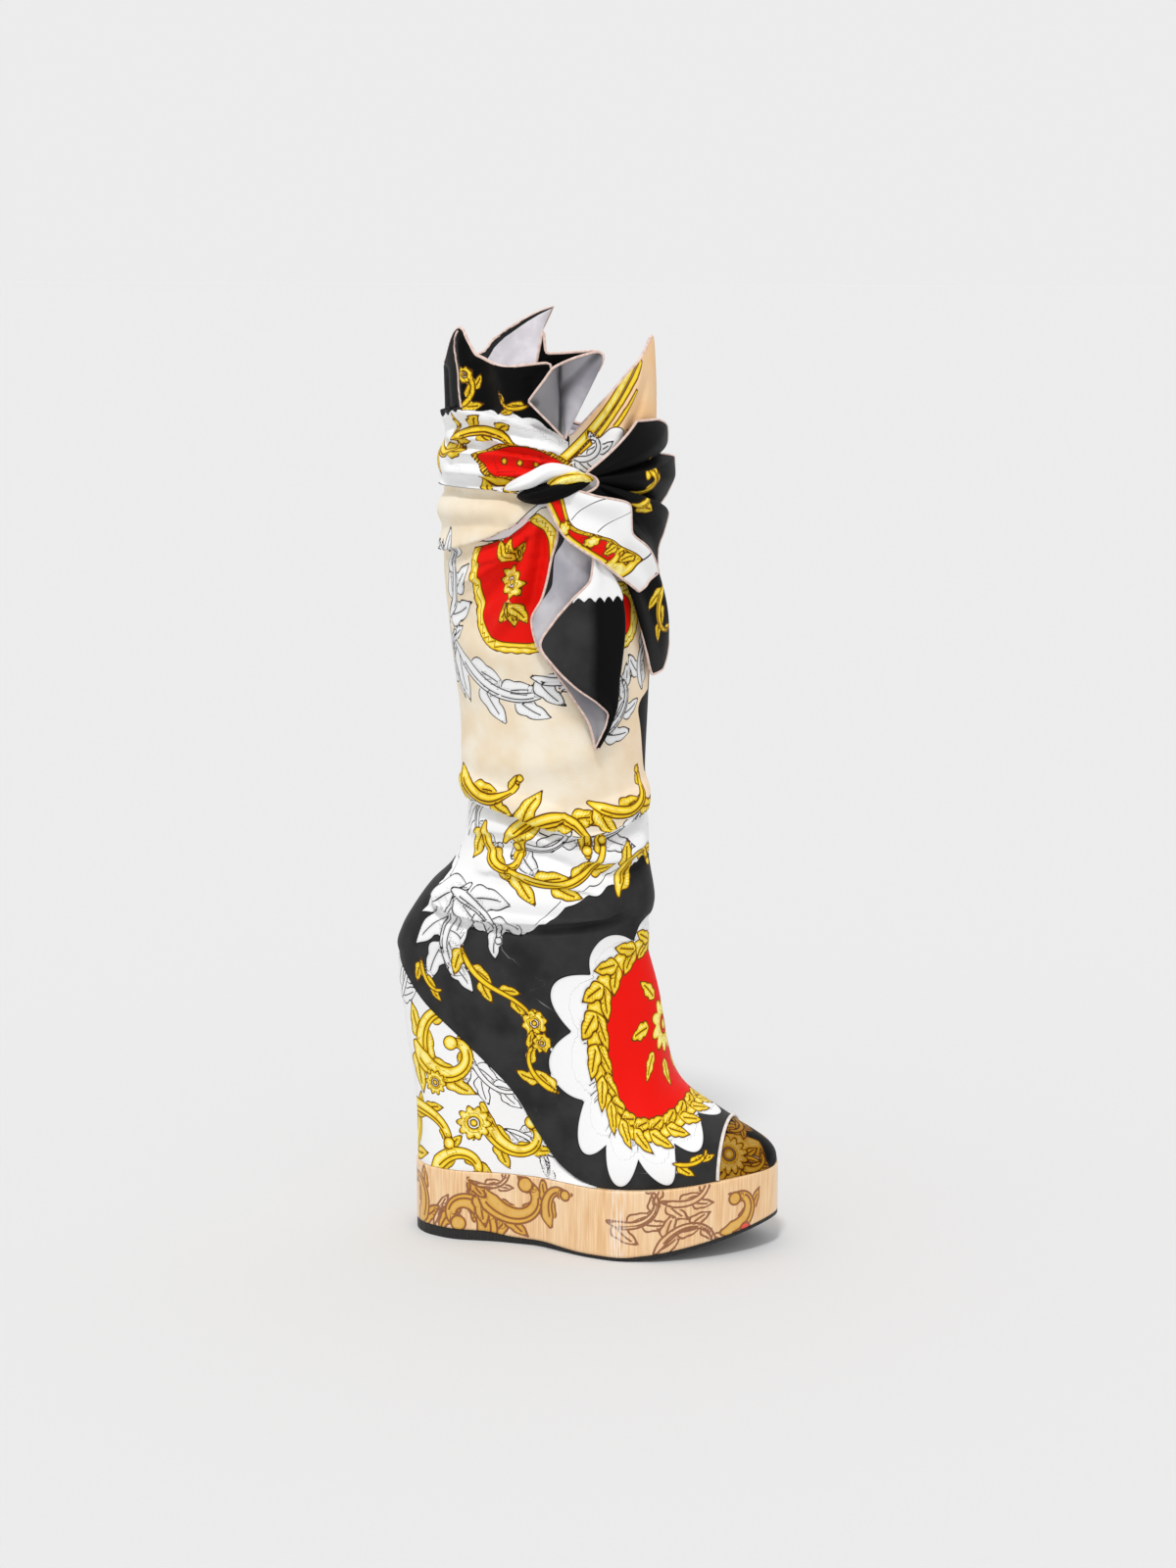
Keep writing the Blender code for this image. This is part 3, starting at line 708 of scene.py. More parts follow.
def print_spray(cloth, spot, spray, mirror=1):
    """A stem with leaves on both sides and maybe a flower at its tip."""
    reach = 0.62 * spray.length + 1.6 * spray.leaf + spray.bloom
    turn = spray.turn if mirror > 0 else 180 - spray.turn
    near, along, across = cloth.patch(spot, reach, turn)
    path, heading = stem_path(spray.length, mirror * spray.bend, mirror * spray.curl)
    for number in range(spray.leaves):
        share = (number + FIRST_LEAF) / spray.leaves
        joint = int(share * (len(path) - 1))
        side = 1 if number % 2 else -1
        way = heading[joint] + side * LEAF_ANGLE
        leaf = turned(along - path[joint, 0], across - path[joint, 1], way)
        size = spray.leaf * (LEAF_SIZES[0] - LEAF_SIZES[1] * share)
        print_leaf(cloth, spray.colour, near, *leaf, size, -LEAF_BEND * side)
    thin_end = max(spray.stem * STEM_TAPER, min(spray.stem, THIN_STEM))
    shape, offset, run = stroke_shape(along, across, path, spray.stem, thin_end)
    cloth.lay(spray.colour, near, shape, np.full_like(run, HATCH / 2), "stem_ink")
    away = (along - path[-1, 0], across - path[-1, 1])
    if spray.stem > GROOVED_STEM:
        groove = offset + GROOVE_SHIFT * (np.abs(offset) - shape)
        share = run / spray.length
        inside = (shape < 0) & (share > GROOVE[0]) & (share < GROOVE[1])
        cloth.draw("vein_ink", near[inside], groove[inside])
        bud = np.hypot(*away) - BUD_SIZE * spray.stem
        cloth.lay(spray.colour, near, bud, np.full_like(run, HATCH / 2), "stem_ink")
    if spray.bloom:
        print_rosette(cloth, near, *away, spray.bloom, spray.colour)


def print_side(cloth, sprays, side):
    """Sprays at their places in the side view, on the outer (-1) or the inner (1) side."""
    for spray in sprays:
        print_spray(cloth, cloth.on_side(spray.a, spray.b, side), spray, -side)


print("a spray is given by:", SPRAY_PARTS)

# %% [markdown]
# ## Writing materials as sums
#
# Shader nodes could be wired one by one, but long sums are hard to read that way. Two small classes
# help: a Wire stands for one socket and can be added and multiplied like a number, and a Paint holds
# one material and adds every other kind of node. The printed cloth is a satin twill, so its shine is
# low and its bump is fine diagonal ribs.

# %% Sums of sockets


class Wire:
    """A shader socket in a sum."""

    def __init__(self, paint, socket):
        self.paint, self.socket = paint, socket

    def math(self, operation, *values):
        inputs = dict(enumerate(values))
        return self.paint.node("ShaderNodeMath", {"operation": operation}, inputs)

    def __add__(self, other):
        return self.math("ADD", self, other)

    def __mul__(self, other):
        return self.math("MULTIPLY", self, other)

    def __sub__(self, other):
        return self.math("SUBTRACT", self, other)

    def __rsub__(self, other):
        return self.math("SUBTRACT", other, self)

    def __truediv__(self, other):
        return self.math("DIVIDE", self, other)

    def __mod__(self, other):
        return self.math("FLOORED_MODULO", self, other)

    def __abs__(self):
        return self.math("ABSOLUTE", self)

    def least(self, other):
        return self.math("MINIMUM", self, other)

    __radd__, __rmul__ = __add__, __mul__


class Paint:
    """A material and its nodes."""

    def __init__(self, name, **shader):
        self.material = bpy.data.materials.new(name)
        self.material.use_nodes = True
        self.tree = self.material.node_tree
        self.shader = self.tree.nodes["Principled BSDF"]
        for key, value in shader.items():
            self.set(self.shader.inputs[key.replace("_", " ")], value)

    def set(self, socket, value):
        """Link a wire to a socket, or set its value."""
        if isinstance(value, Wire):
            self.tree.links.new(value.socket, socket)
        elif isinstance(value, tuple) and len(value) == 3 and socket.type == "RGBA":
            socket.default_value = (*value, 1)
        else:
            socket.default_value = value

    def node(self, kind, settings=None, inputs=None, output=0):
        made = self.tree.nodes.new(kind)
        for key, value in (settings or {}).items():
            setattr(made, key, value)
        for key, value in (inputs or {}).items():
            self.set(made.inputs[key], value)
        return Wire(self, made.outputs[output])

    def field(self, name):
        return self.node("ShaderNodeAttribute", {"attribute_name": name}, output="Fac")

    def ramp(self, value, low, high, start=0.0, end=1.0):
        """Eases from start to end while the value goes from low to high."""
        inputs = {"Value": value, "From Min": low, "From Max": high, "To Min": start, "To Max": end}
        return self.node("ShaderNodeMapRange", {"interpolation_type": "SMOOTHSTEP"}, inputs)

    def mix(self, share, first, second):
        """One colour over another."""
        inputs = {0: share, 6: first, 7: second}
        return self.node("ShaderNodeMix", {"data_type": "RGBA"}, inputs, output=2)

    def noise(self, scale, detail=2.0, vector=None):
        """Soft noise. The scale counts its bumps per metre, or per unit of the vector."""
        if vector is None:
            vector = self.node("ShaderNodeTexCoord", output="Object")
        inputs = {"Vector": vector, "Scale": scale, "Detail": detail}
        return self.node("ShaderNodeTexNoise", None, inputs)

    def vector(self, x=0.0, y=0.0, z=0.0):
        return self.node("ShaderNodeCombineXYZ", None, {"X": x, "Y": y, "Z": z})

    def finish(self, colour, roughness, height, depth):
        """Wires the surface: its colour, its roughness, and its bump by a height from 0 to 1 times a
        depth in millimetres."""
        self.set(self.shader.inputs["Base Color"], colour)
        self.set(self.shader.inputs["Roughness"], roughness)
        inputs = {"Height": height, "Distance": depth * MM}
        self.set(self.shader.inputs["Normal"], self.node("ShaderNodeBump", None, inputs))
        return self.material


# %% Colours of the print
GOLD = (0.92, 0.67, 0.025)
PALE_GOLD = (0.98, 0.90, 0.34)
OCHRE = (0.68, 0.36, 0.010)
BROWN = (0.16, 0.06, 0.004)
DARK_BROWN = (0.10, 0.040, 0.004)
INK = (0.012, 0.009, 0.008)
WHITE = (0.88, 0.88, 0.88)
PALE_GREY = (0.72, 0.72, 0.73)
RED = (0.80, 0.008, 0.004)
BLACK = (0.003, 0.003, 0.003)
CHARCOAL = (0.038, 0.038, 0.038)
BEIGE = (0.82, 0.68, 0.49)
PALE_BEIGE = (0.87, 0.79, 0.65)
APRICOT = (0.94, 0.60, 0.31)
GREY = (0.66, 0.64, 0.67)
GREY_SHADE = (0.36, 0.35, 0.39)
HATCH_GREY = (0.16, 0.16, 0.17)
SCUFF_GREY = (0.45, 0.44, 0.42)
TOE_BROWN = (0.40, 0.27, 0.16)
LINE = 0.31  # half the width of an ink line
LINE_BLUR = 0.15
EDGE_BLUR = 0.14
RIB = 0.9  # from one rib of the twill to the next


print("gold is", GOLD, "and red is", RED)

# %% Printed and plain cloth


def weave(paint):
    """The fine diagonal ribs of silk twill, from 0 to 1, with soft unevenness."""
    run = (paint.field("warp") + paint.field("weft")) / RIB
    ribs = abs(run % 1.0 - 0.5) * 2
    return ribs * 0.35 + paint.noise(220.0) * 0.65


def inside_shapes(paint, name):
    """1 inside the shapes of one colour and 0 outside."""
    return paint.ramp(paint.field(name), EDGE_BLUR, -EDGE_BLUR)


def ink_depth(paint):
    """How far the nearest ink line is."""
    depth = abs(paint.field(INKS[0]))
    for name in INKS[1:]:
        depth = depth.least(abs(paint.field(name)))
    return depth


def engraving(paint, depth):
    """Fine hatched lines that fade out away from the ink."""
    lines = abs(paint.field("hatch") / HATCH % 1.0 - 0.5)
    return paint.ramp(lines, 0.33, 0.43) * paint.ramp(depth, 3.0, 1.0)


def gold_print(paint, depth, hatch):
    """Gold that is ochre beside the ink, pale in the middle of a shape and brown in the hatching."""
    body = paint.mix(paint.ramp(depth, 0.2, 1.0), OCHRE, GOLD)
    body = paint.mix(paint.ramp(depth, 0.9, 2.2) * 0.85, body, PALE_GOLD)
    body = paint.mix(paint.ramp(paint.noise(240.0), 0.52, 0.66) * 0.42, body, OCHRE)
    return paint.mix(hatch * 0.38, body, BROWN)


def printed_cloth(name, tint=None):
    """Satin cloth with a print in seven colours and ink, and maybe a tint over all of it."""
    paint = Paint(name, Specular_IOR_Level=0.06, Sheen_Weight=0.01, Sheen_Roughness=0.4)
    depth = ink_depth(paint)
    hatch = engraving(paint, depth)
    uneven = paint.noise(45.0, 3.0)
    # Painted light from the cloth's fields: warmer painted shade on the beige, painted shade on the
    # grey, and painted sheen that lightens the black to charcoal
    warm = paint.field("warm") * paint.ramp(uneven, 0.2, 0.6, 0.6, 1.0)
    worn = paint.field("worn") * paint.ramp(uneven, 0.3, 0.68, 0.5, 1.0)
    dim = paint.field("dim") * paint.ramp(uneven, 0.25, 0.6, 0.6, 1.0)
    beige = paint.mix(paint.ramp(uneven, 0.3, 0.66), BEIGE, PALE_BEIGE)
    leaf = paint.mix(paint.ramp(depth, 0.2, 1.6), PALE_GREY, WHITE)
    grey = paint.mix(paint.ramp(uneven, 0.3, 0.7), GREY_SHADE, GREY)
    fills = {
        "beige": paint.mix(warm, beige, APRICOT),
        "grey": paint.mix(dim, grey, CHARCOAL),
        "black": paint.mix(worn, BLACK, CHARCOAL),
        "red": RED,
        "leaf": paint.mix(hatch * 0.16, leaf, HATCH_GREY),
        "gold": gold_print(paint, depth, hatch),
    }
    colour = WHITE
    for fill, tone in fills.items():
        colour = paint.mix(inside_shapes(paint, fill), colour, tone)
    ink = paint.mix(paint.ramp(paint.field("gold"), 0.9, 0.3), INK, DARK_BROWN)
    colour = paint.mix(paint.ramp(depth, LINE + LINE_BLUR, LINE - LINE_BLUR), colour, ink)
    scuff = paint.ramp(abs(paint.field("scuff")), 0.4, 0.12) * paint.ramp(uneven, 0.4, 0.6)
    colour = paint.mix(scuff * 0.7, colour, SCUFF_GREY)
    if tint:
        multiply = {"data_type": "RGBA", "blend_type": "MULTIPLY"}
        colour = paint.node("ShaderNodeMix", multiply, {0: 1.0, 6: colour, 7: tint}, output=2)
    return paint.finish(colour, uneven * 0.16 + 0.40, weave(paint), 0.12)


def plain_cloth(name, colour, shade, grain=160.0, rolled=None):
    """Unprinted cloth between two close tones, and maybe another colour where its edge is rolled."""
    paint = Paint(name, Specular_IOR_Level=0.3, Sheen_Weight=0.2, Sheen_Roughness=0.5)
    mottle = paint.noise(grain, 4.0)
    blend = paint.mix(paint.ramp(mottle, 0.3, 0.72), shade, colour)
    if rolled:
        blend = paint.mix(paint.ramp(paint.field("rolled"), -0.05, -0.4), blend, rolled)
    threads = paint.noise(1500.0, 2.0) * 0.4 + mottle * 0.6
    return paint.finish(blend, mottle * 0.15 + 0.55, threads, 0.15)


upper_print = printed_cloth("upper_print")
toe_print = printed_cloth("toe_print_brown", tint=TOE_BROWN)
lining_cloth = plain_cloth("grey_lining", (0.84, 0.81, 0.84), (0.74, 0.71, 0.75), rolled=BLACK)
hem_cloth = plain_cloth("pale_pink_hem", (0.82, 0.64, 0.57), (0.62, 0.44, 0.38), grain=420.0)
binding_cloth = plain_cloth("white_binding", (0.85, 0.81, 0.77), (0.68, 0.62, 0.56), grain=420.0)
sock_cloth = plain_cloth("tan_sock", (0.55, 0.42, 0.30), (0.44, 0.32, 0.22))
cloths = (upper_print, toe_print, lining_cloth, hem_cloth, binding_cloth, sock_cloth)
print("cloths:", *(cloth.name for cloth in cloths))

# %% [markdown]
# ## The sole
#
# The sole is a thin rubber tread under a platform faced with wood. Both could be extruded from one
# outline, but their floor and top curve along the foot. So they are rings across the foot, close
# together at the round ends. The platform's side is veneer with upright grain under a clear coat,
# and part of the cloth's print runs on over it in gold and brown. The rubber is matt, with a fine
# ripple for grip underneath.

# %% Rings of the sole
SOLE_STATIONS = 220
SIDE_LEVELS = 26
PLATFORM_EDGE = 0.8
RUBBER_EDGE = 0.25
RUBBER_INSET = 0.5
END_CUT = 0.03
ROUND_STEPS = 4


def sole_rings(inset, heights, edge):
    """Closed rings across the foot: up the outer side, over the top and down the inner side."""
    turn = np.linspace(END_CUT, np.pi - END_CUT, SOLE_STATIONS)
    rings = []
    for x in HEEL_BACK + (TOE_TIP - HEEL_BACK) * (1 - np.cos(turn)) / 2:
        outer, inner = (platform_side(x, side) - inset for side in ("outer", "inner"))
        bottom, top = heights(x)
        side = np.linspace(bottom, top - edge, SIDE_LEVELS)
        bevel = np.linspace(0, np.pi / 2, ROUND_STEPS)
        rise = np.concatenate([side, top - edge + edge * np.sin(bevel[1:])])
        pull = np.concatenate([np.zeros(SIDE_LEVELS), edge * (1 - np.cos(bevel[1:]))])
        y = np.concatenate([pull - outer, (inner - pull)[::-1]])
        rings.append(np.stack([np.full_like(y, x), y, np.concatenate([rise, rise[::-1]])], -1))
    return np.array(rings)


def closed_faces(rows, columns):
    """Faces round closed rings, with a flat face at each end."""
    index = point_numbers(rows, columns)
    ring = np.concatenate([index, index[:, :1]], 1)
    return [*quads(ring)[:, [0, 3, 2, 1]], index[0], index[-1, ::-1]]


def add_rings(name, rings, material, node, fields=None):
    """A closed piece from rings of points."""
    faces = closed_faces(*rings.shape[:2])
    add_piece(name, rings.reshape(-1, 3), faces, material, [node], fields)


def outsole_heights(x):
    return tread("floor", x), tread("floor", x) + tread("rubber", x)


def platform_heights(x):
    top = footbed(x) - GAP if x > BALL else PLATFORM_TOP
    return outsole_heights(x)[1] + GAP, top


outsole_rings = sole_rings(RUBBER_INSET, outsole_heights, RUBBER_EDGE)
platform_rings = sole_rings(0.0, platform_heights, PLATFORM_EDGE)
print("the sole has", len(outsole_rings), "rings of", outsole_rings.shape[1], "points")

# %% Rubber
rubber = Paint("black_rubber", Specular_IOR_Level=0.4)
RIPPLE = 4.0
RUBBER_BLACK = (0.006, 0.006, 0.006)
RUBBER_DUSTY = (0.022, 0.022, 0.022)
rubber_place = rubber.node("ShaderNodeTexCoord", output="Object")
dust = rubber.noise(90.0, 4.0)
along_foot = rubber.node("ShaderNodeSeparateXYZ", None, {0: rubber_place})
ripple = rubber.ramp(abs(along_foot / (RIPPLE * MM) % 1.0 - 0.5), 0.1, 0.3)
rubber_colour = rubber.mix(dust, RUBBER_BLACK, RUBBER_DUSTY)
rubber.finish(rubber_colour, dust * 0.2 + 0.48, ripple + rubber.noise(900.0) * 0.3, 0.5)
add_rings("outsole_rubber", outsole_rings, rubber.material, "outsole")

# %% The platform's print
platform_cloth = Cloth(platform_rings, None, outward=-1)
PLATFORM_SPRAYS = [
    Spray(-24, 24, "gold", 100, 38, 1.2, 1.4, 5.4, 4, 18),
    Spray(-11, 17, None, 30, 26, -1.4, -1.6, 1.4, 3, 13),
    Spray(8, 22, "gold", 150, 56, 2.2, 2.6, 6.6, 5, 22),
    Spray(36, 17, "gold", 8, 60, 1.9, 2.2, 6.4, 6, 20),
    Spray(54, 30, "gold", 70, 32, -1.2, -1.6, 4.6, 3, 17),
    Spray(20, 33, None, 10, 30, 1, 1.2, 1.2, 4, 12),
    Spray(114, 24, None, 32, 46, 1.4, 1.6, 2.4, 5, 18),
    Spray(136, 20, None, 14, 50, -1.2, -1.6, 2.4, 6, 17),
    Spray(140, 36, None, 26, 40, 1.2, 1.4, 2, 5, 15),
    Spray(166, 24, "gold", 64, 40, 1.6, 2.2, 5.4, 4, 16),
]
Flower = namedtuple("Flower", "x z radius")
RED_BERRY = Flower(165.5, 14, 3.2)
BERRY_REACH = 20
for side in (-1, 1):
    print_side(platform_cloth, PLATFORM_SPRAYS, side)
    near, along, across = platform_cloth.side_patch(RED_BERRY, side, BERRY_REACH)
    platform_cloth.lay("red", near, np.hypot(along, across) - RED_BERRY.radius, layer="vein_ink")

print(len(PLATFORM_SPRAYS), "sprays on each side of the platform")

# %% Wood veneer
WOOD_TAN = (0.74, 0.43, 0.19)
WOOD_LIGHT = (0.90, 0.62, 0.35)
WOOD_PALE = (0.93, 0.72, 0.48)
WOOD_PORE = (0.42, 0.21, 0.08)
WOOD_GOLD = (0.64, 0.27, 0.012)
WOOD_INK = (0.22, 0.055, 0.006)
WOOD_PAINTED_HIGHLIGHT = (0.95, 0.88, 0.80)
PAINTED_HIGHLIGHT_AT = 97.0  # where the outer side gets its painted highlight of pale upright streaks


def wood_veneer():
    """Upright grain in warm tan, printed in gold and brown, under a satin coat."""
    paint = Paint("wood_veneer", Specular_IOR_Level=0.5, Coat_Weight=0.45, Coat_Roughness=0.22)
    round_foot, upright = paint.field("weft"), paint.field("warp")
    grain = paint.noise(1.0, 5.0, paint.vector(round_foot * 0.9, upright * 0.035, 0.0))
    pores = paint.noise(1.0, 2.0, paint.vector(round_foot * 3.4, upright * 0.12, 7.0))
    broad = paint.noise(1.0, 1.0, paint.vector(round_foot * 0.06, upright * 0.01, 3.0))
    colour = paint.mix(paint.ramp(grain, 0.32, 0.68), WOOD_TAN, WOOD_LIGHT)
    colour = paint.mix(paint.ramp(broad, 0.4, 0.7) * 0.5, colour, WOOD_PALE)
    colour = paint.mix(paint.ramp(pores, 0.62, 0.76) * 0.3, colour, WOOD_PORE)
    depth = ink_depth(paint)
    gold = paint.mix(0.74, gold_print(paint, depth, engraving(paint, depth)), WOOD_GOLD)
    colour = paint.mix(inside_shapes(paint, "gold") * 0.94, colour, gold)
    colour = paint.mix(inside_shapes(paint, "red") * 0.9, colour, RED)
    colour = paint.mix(paint.ramp(depth, 2.5 * LINE, 1.5 * LINE) * 0.9, colour, WOOD_INK)
    # A painted highlight: pale upright streaks on the coat of the outer side, where a reflection
    # would lie
    streaks = paint.noise(1.0, 3.0, paint.vector(round_foot * 1.1, upright * 0.05, 1.0))
    worn = paint.ramp(streaks, 0.42, 0.6) * paint.ramp(abs(paint.field("ball")), 7.0, 1.0)
    colour = paint.mix(worn * 0.7, colour, WOOD_PAINTED_HIGHLIGHT)
    roughness = grain * 0.12 + worn * 0.2 + 0.28
    return paint.finish(colour, roughness, grain * 0.6 + pores * 0.4, 0.12)


# ball is the distance along the outer side from where the highlight is painted
platform_x, platform_y = platform_cloth.points[:, 0], platform_cloth.points[:, 1]
platform_cloth.fields["ball"] = np.where(platform_y < 0, platform_x - PAINTED_HIGHLIGHT_AT, FAR)
veneer = wood_veneer()
add_rings("platform_wood", platform_rings, veneer, "platform", platform_cloth.fields)

# %% [markdown]
# ## The wedge
#
# The wedge fills the space between the platform and the raised heel. Its cloth cover is pulled
# tight, so it has no folds, only the print: gold sprays and ink lines on white. A block cut by the
# footbed would have its shape. Level rings are used instead, because they turn from the platform's
# outline into the heel's as they climb, and the print needs an even grid.

# %% Wedge
WEDGE_LEDGE = 0.7
WEDGE_INSET = 0.6
WEDGE_TURNS = 84
WEDGE_RINGS = 118


def wedge_ring(front, height):
    """A level ring of the wedge: round the back from one side to the other, cut off at the front."""
    back = curve(WEDGE_BACK, "z", "x", height)
    depth = (front - back) * (1 - np.cos(np.linspace(0, np.pi / 2, WEDGE_TURNS)))
    rise = height - PLATFORM_TOP - GAP
    blend = np.clip(rise / (footbed(back + depth) - 2 * GAP - PLATFORM_TOP), 0, 1)
    heel = column(SECTIONS, "base_x").min()
    sides = []
    for side, sign in (("outer", -1), ("inner", 1)):
        foot = np.maximum(platform_side(HEEL_BACK + depth, side) - WEDGE_INSET, 0)
        seat = footbed_half_width(heel + depth) + WEDGE_LEDGE + sign * centre_line(heel + depth)
        width = (1 - blend) * foot + blend * seat
        width[0] = 0
        sides.append(np.stack([back + depth, sign * width, np.full_like(depth, height)], -1))
    return np.concatenate([sides[0][::-1], sides[1][1:]])


wedge_heights = np.linspace(footbed(WEDGE_FRONT) - GAP, footbed(WEDGE_TIP) - GAP, WEDGE_RINGS)
fine_x = np.linspace(WEDGE_FRONT, WEDGE_TIP, FINE_STEPS)
wedge_fronts = np.interp(wedge_heights, footbed(fine_x) - GAP, fine_x)
wedge_rings = [wedge_ring(WEDGE_FRONT, PLATFORM_TOP + GAP)]
wedge_rings += [wedge_ring(front, height) for front, height in zip(wedge_fronts, wedge_heights)]
wedge_rings = np.array(wedge_rings)

wedge_cloth = Cloth(wedge_rings, "white", outward=-1)
WEDGE_SPRAYS = [
    Spray(-34, 152, None, 75, 36, 0.8, 1, 1.6, 5, 18),
    Spray(18, 94, None, -38, 48, 0.9, 1.2, 1.6, 6, 20),
    Spray(46, 60, None, -38, 44, -0.8, -1, 1.4, 6, 17),
    Spray(-22, 126, "gold", 62, 58, -1.2, -1.8, 5.4, 4, 24),
    Spray(-4, 98, "gold", 12, 66, 2, 2.6, 6.2, 5, 25),
    Spray(-28, 64, "gold", 84, 50, 1.6, 2.2, 5.4, 4, 22),
    Spray(32, 56, "gold", -18, 66, 1.7, 2.4, 5.4, 6, 20),
    Spray(0, 52, "gold", 5, 46, -1.4, -2, 5, 4, 18),
    Spray(-20, 73, "gold", -16, 50, -0.8, -1, 5, 3, 17),
]
WEDGE_FLOWERS = [Flower(8, 70, 10.5), Flower(-16, 92, 7.5)]
for side in (-1, 1):
    print_side(wedge_cloth, WEDGE_SPRAYS, side)
    for flower in WEDGE_FLOWERS:
        patch = wedge_cloth.side_patch(flower, side, 2 * flower.radius)
        print_rosette(wedge_cloth, *patch, flower.radius, "gold", "leaf", 10)
add_rings("wedge_cover", wedge_rings, upper_print, "wedge", wedge_cloth.fields)

# %% [markdown]
# ## The upper
#
# The upper is one fine skin from the toe seam to the collar's rim. Its wraps could be separate
# strips, but they would meet in open seams. Instead the whole skin is printed flat, as cut, and then
# folded: its rows lie closer together where folds come later. The large areas of colour come first,
# each one bounded by a line round the leg.

# %% The upper as cut and as wrapped
SKIN_TURNS = 250
FOOT_ROWS = 130
COLLAR_ROWS = 44
RowZone = namedtuple("RowZone", "height rows")
SHAFT_ZONES = [RowZone(168.5, 92), RowZone(270.0, 52), RowZone(385.0, 64)]  # closer where it folds


def skin_rows(folded):
    turns = np.linspace(0, 1, SKIN_TURNS + 1)
    foot = np.linspace(SEAM_STATION + GAP / 2, BACK_STATION, FOOT_ROWS)
    ends = [*shaft_station(column(SHAFT_ZONES, "height")), STATIONS[-1]]
    shaft = [
        np.linspace(ends[place], ends[place + 1], zone.rows + 1)[1:]
        for place, zone in enumerate(SHAFT_ZONES)
    ]
    points, angle = upper_points(np.concatenate([foot, *shaft]), turns, folded=folded)
    round_angle = -180 + 360 * turns
    rim = curve(RIM, "angle", "height", round_angle)
    share = np.linspace(0, 1, COLLAR_ROWS + 1)[1:, None]
    height = SHAFT_END + share * (rim - SHAFT_END)
    out = collar_lean(round_angle, height) + folded * fold_rise(round_angle, height)
    collar_angle = round_angle + share**3 * curve(RIM, "angle", "turn", round_angle)
    collar = shaft_point(collar_angle, height, out)
    return np.concatenate([points, collar]), np.concatenate([angle, collar_angle])


skin_points, skin_angle = skin_rows(1.0)
flat_points, _ = skin_rows(0.0)
skin = Cloth(flat_points, "beige")
skin_height = skin.points[:, 2]
skin_angle = skin_angle.reshape(-1)
everywhere = np.arange(len(skin.points))


def on_shaft(angle, height):
    return skin.nearest(shaft_point(angle, height, collar_lean(angle, height)))


def shaft_patch(spot, reach, turn=0.0):
    """The grid points near a panel's or a lens's place on the shaft."""
    return skin.patch(on_shaft(spot.angle, spot.height), reach, turn)


def print_on_shaft(spray, mirror=1):
    print_spray(skin, on_shaft(mirror * spray.a, spray.b), spray, mirror)


print("the upper's skin has", len(everywhere), "points")

# %% Grounds of the upper's print
GROUND_LINES = table("angle foot ankle band collar", [
    (-180, 226, 264, 440, 472),
    (-160, 220, 264, 438, 471),
    (-140, 204, 263, 437, 473),
    (-120, 191, 262, 437, 476),
    (-100, 186, 256, 435, 476),
    (-80, 187, 248, 430, 470),
    (-72, 198, 246, 430, 464),
    (-60, 207, 245, 430, 458),
    (-48, 211, 247, 431, 456),
    (-30, 221, 252, 434, 456),
    (-4, 228, 260, 438, 456),
    (30, 222, 262, 440, 458),
    (60, 205, 258, 440, 466),
    (90, 188, 256, 438, 474),
    (130, 196, 262, 438, 476),
    (180, 226, 264, 440, 472),
])
ARC = 0.9  # millimetres in one degree round the shaft
FLAP_ANGLE, FLAP_HALF, FLAP_LOW = -23, 39, 446


def ground_line(name):
    return curve(GROUND_LINES, "angle", name, skin_angle)


def scallops(period, depth=2.0):
    return depth * np.abs(np.sin(np.pi * skin_angle / period))


ankle_edge = ground_line("ankle")
skin.lay("white", everywhere, skin_height - ankle_edge)
foot_edge = ground_line("foot") - scallops(11)
skin.lay("black", everywhere, skin_height - foot_edge)
collar_edge = ground_line("collar") + scallops(13)
band = np.maximum(ground_line("band") - skin_height, skin_height - collar_edge)
skin.lay("white", everywhere, band)
front_flap = np.abs(skin_angle - FLAP_ANGLE) * ARC - FLAP_HALF
front_flap = np.maximum(front_flap, FLAP_LOW - skin_height)
skin.lay("black", everywhere, np.maximum(collar_edge - skin_height, -front_flap))
skin.lay("beige", everywhere, front_flap)
for colour in ("beige", "white", "black"):
    print(f"{colour} covers {np.mean(skin.fields[colour] < 0):.0%} of the upper's points")

# %% Inner front, ink lines and pleat
Panel = namedtuple("Panel", "angle height half_width half_height corner frame", defaults=(0.0,))
INNER_FRONT = Panel(38, 350, 30, 72, 16, 2.0)


def panel_shape(along, across, panel):
    """Distance from a rectangle with round corners."""
    past = [
        np.abs(along) - panel.half_width + panel.corner,
        np.abs(across) - panel.half_height + panel.corner,
    ]
    return np.hypot(*np.maximum(past, 0)) + np.minimum(np.maximum(*past), 0) - panel.corner


inner_along = (skin_angle - INNER_FRONT.angle) * ARC
inner_front = panel_shape(inner_along, skin_height - INNER_FRONT.height, INNER_FRONT)
skin.lay("gold", everywhere, inner_front - INNER_FRONT.frame)
skin.lay("black", everywhere, inner_front)

# A fine ink line follows each edge of the white ground at the ankle
INK_LINES = (7, 6)  # from the white ground's upper and lower edge to its ink lines
LINE_MARGIN = 2
below_edge, above_edge = skin_height - ankle_edge, skin_height - foot_edge
ankle_zone = everywhere[(below_edge < -LINE_MARGIN) & (above_edge > LINE_MARGIN)]
skin.draw("vein_ink", ankle_zone, (below_edge + INK_LINES[0])[ankle_zone])
skin.draw("vein_ink", ankle_zone, (above_edge - INK_LINES[1])[ankle_zone])

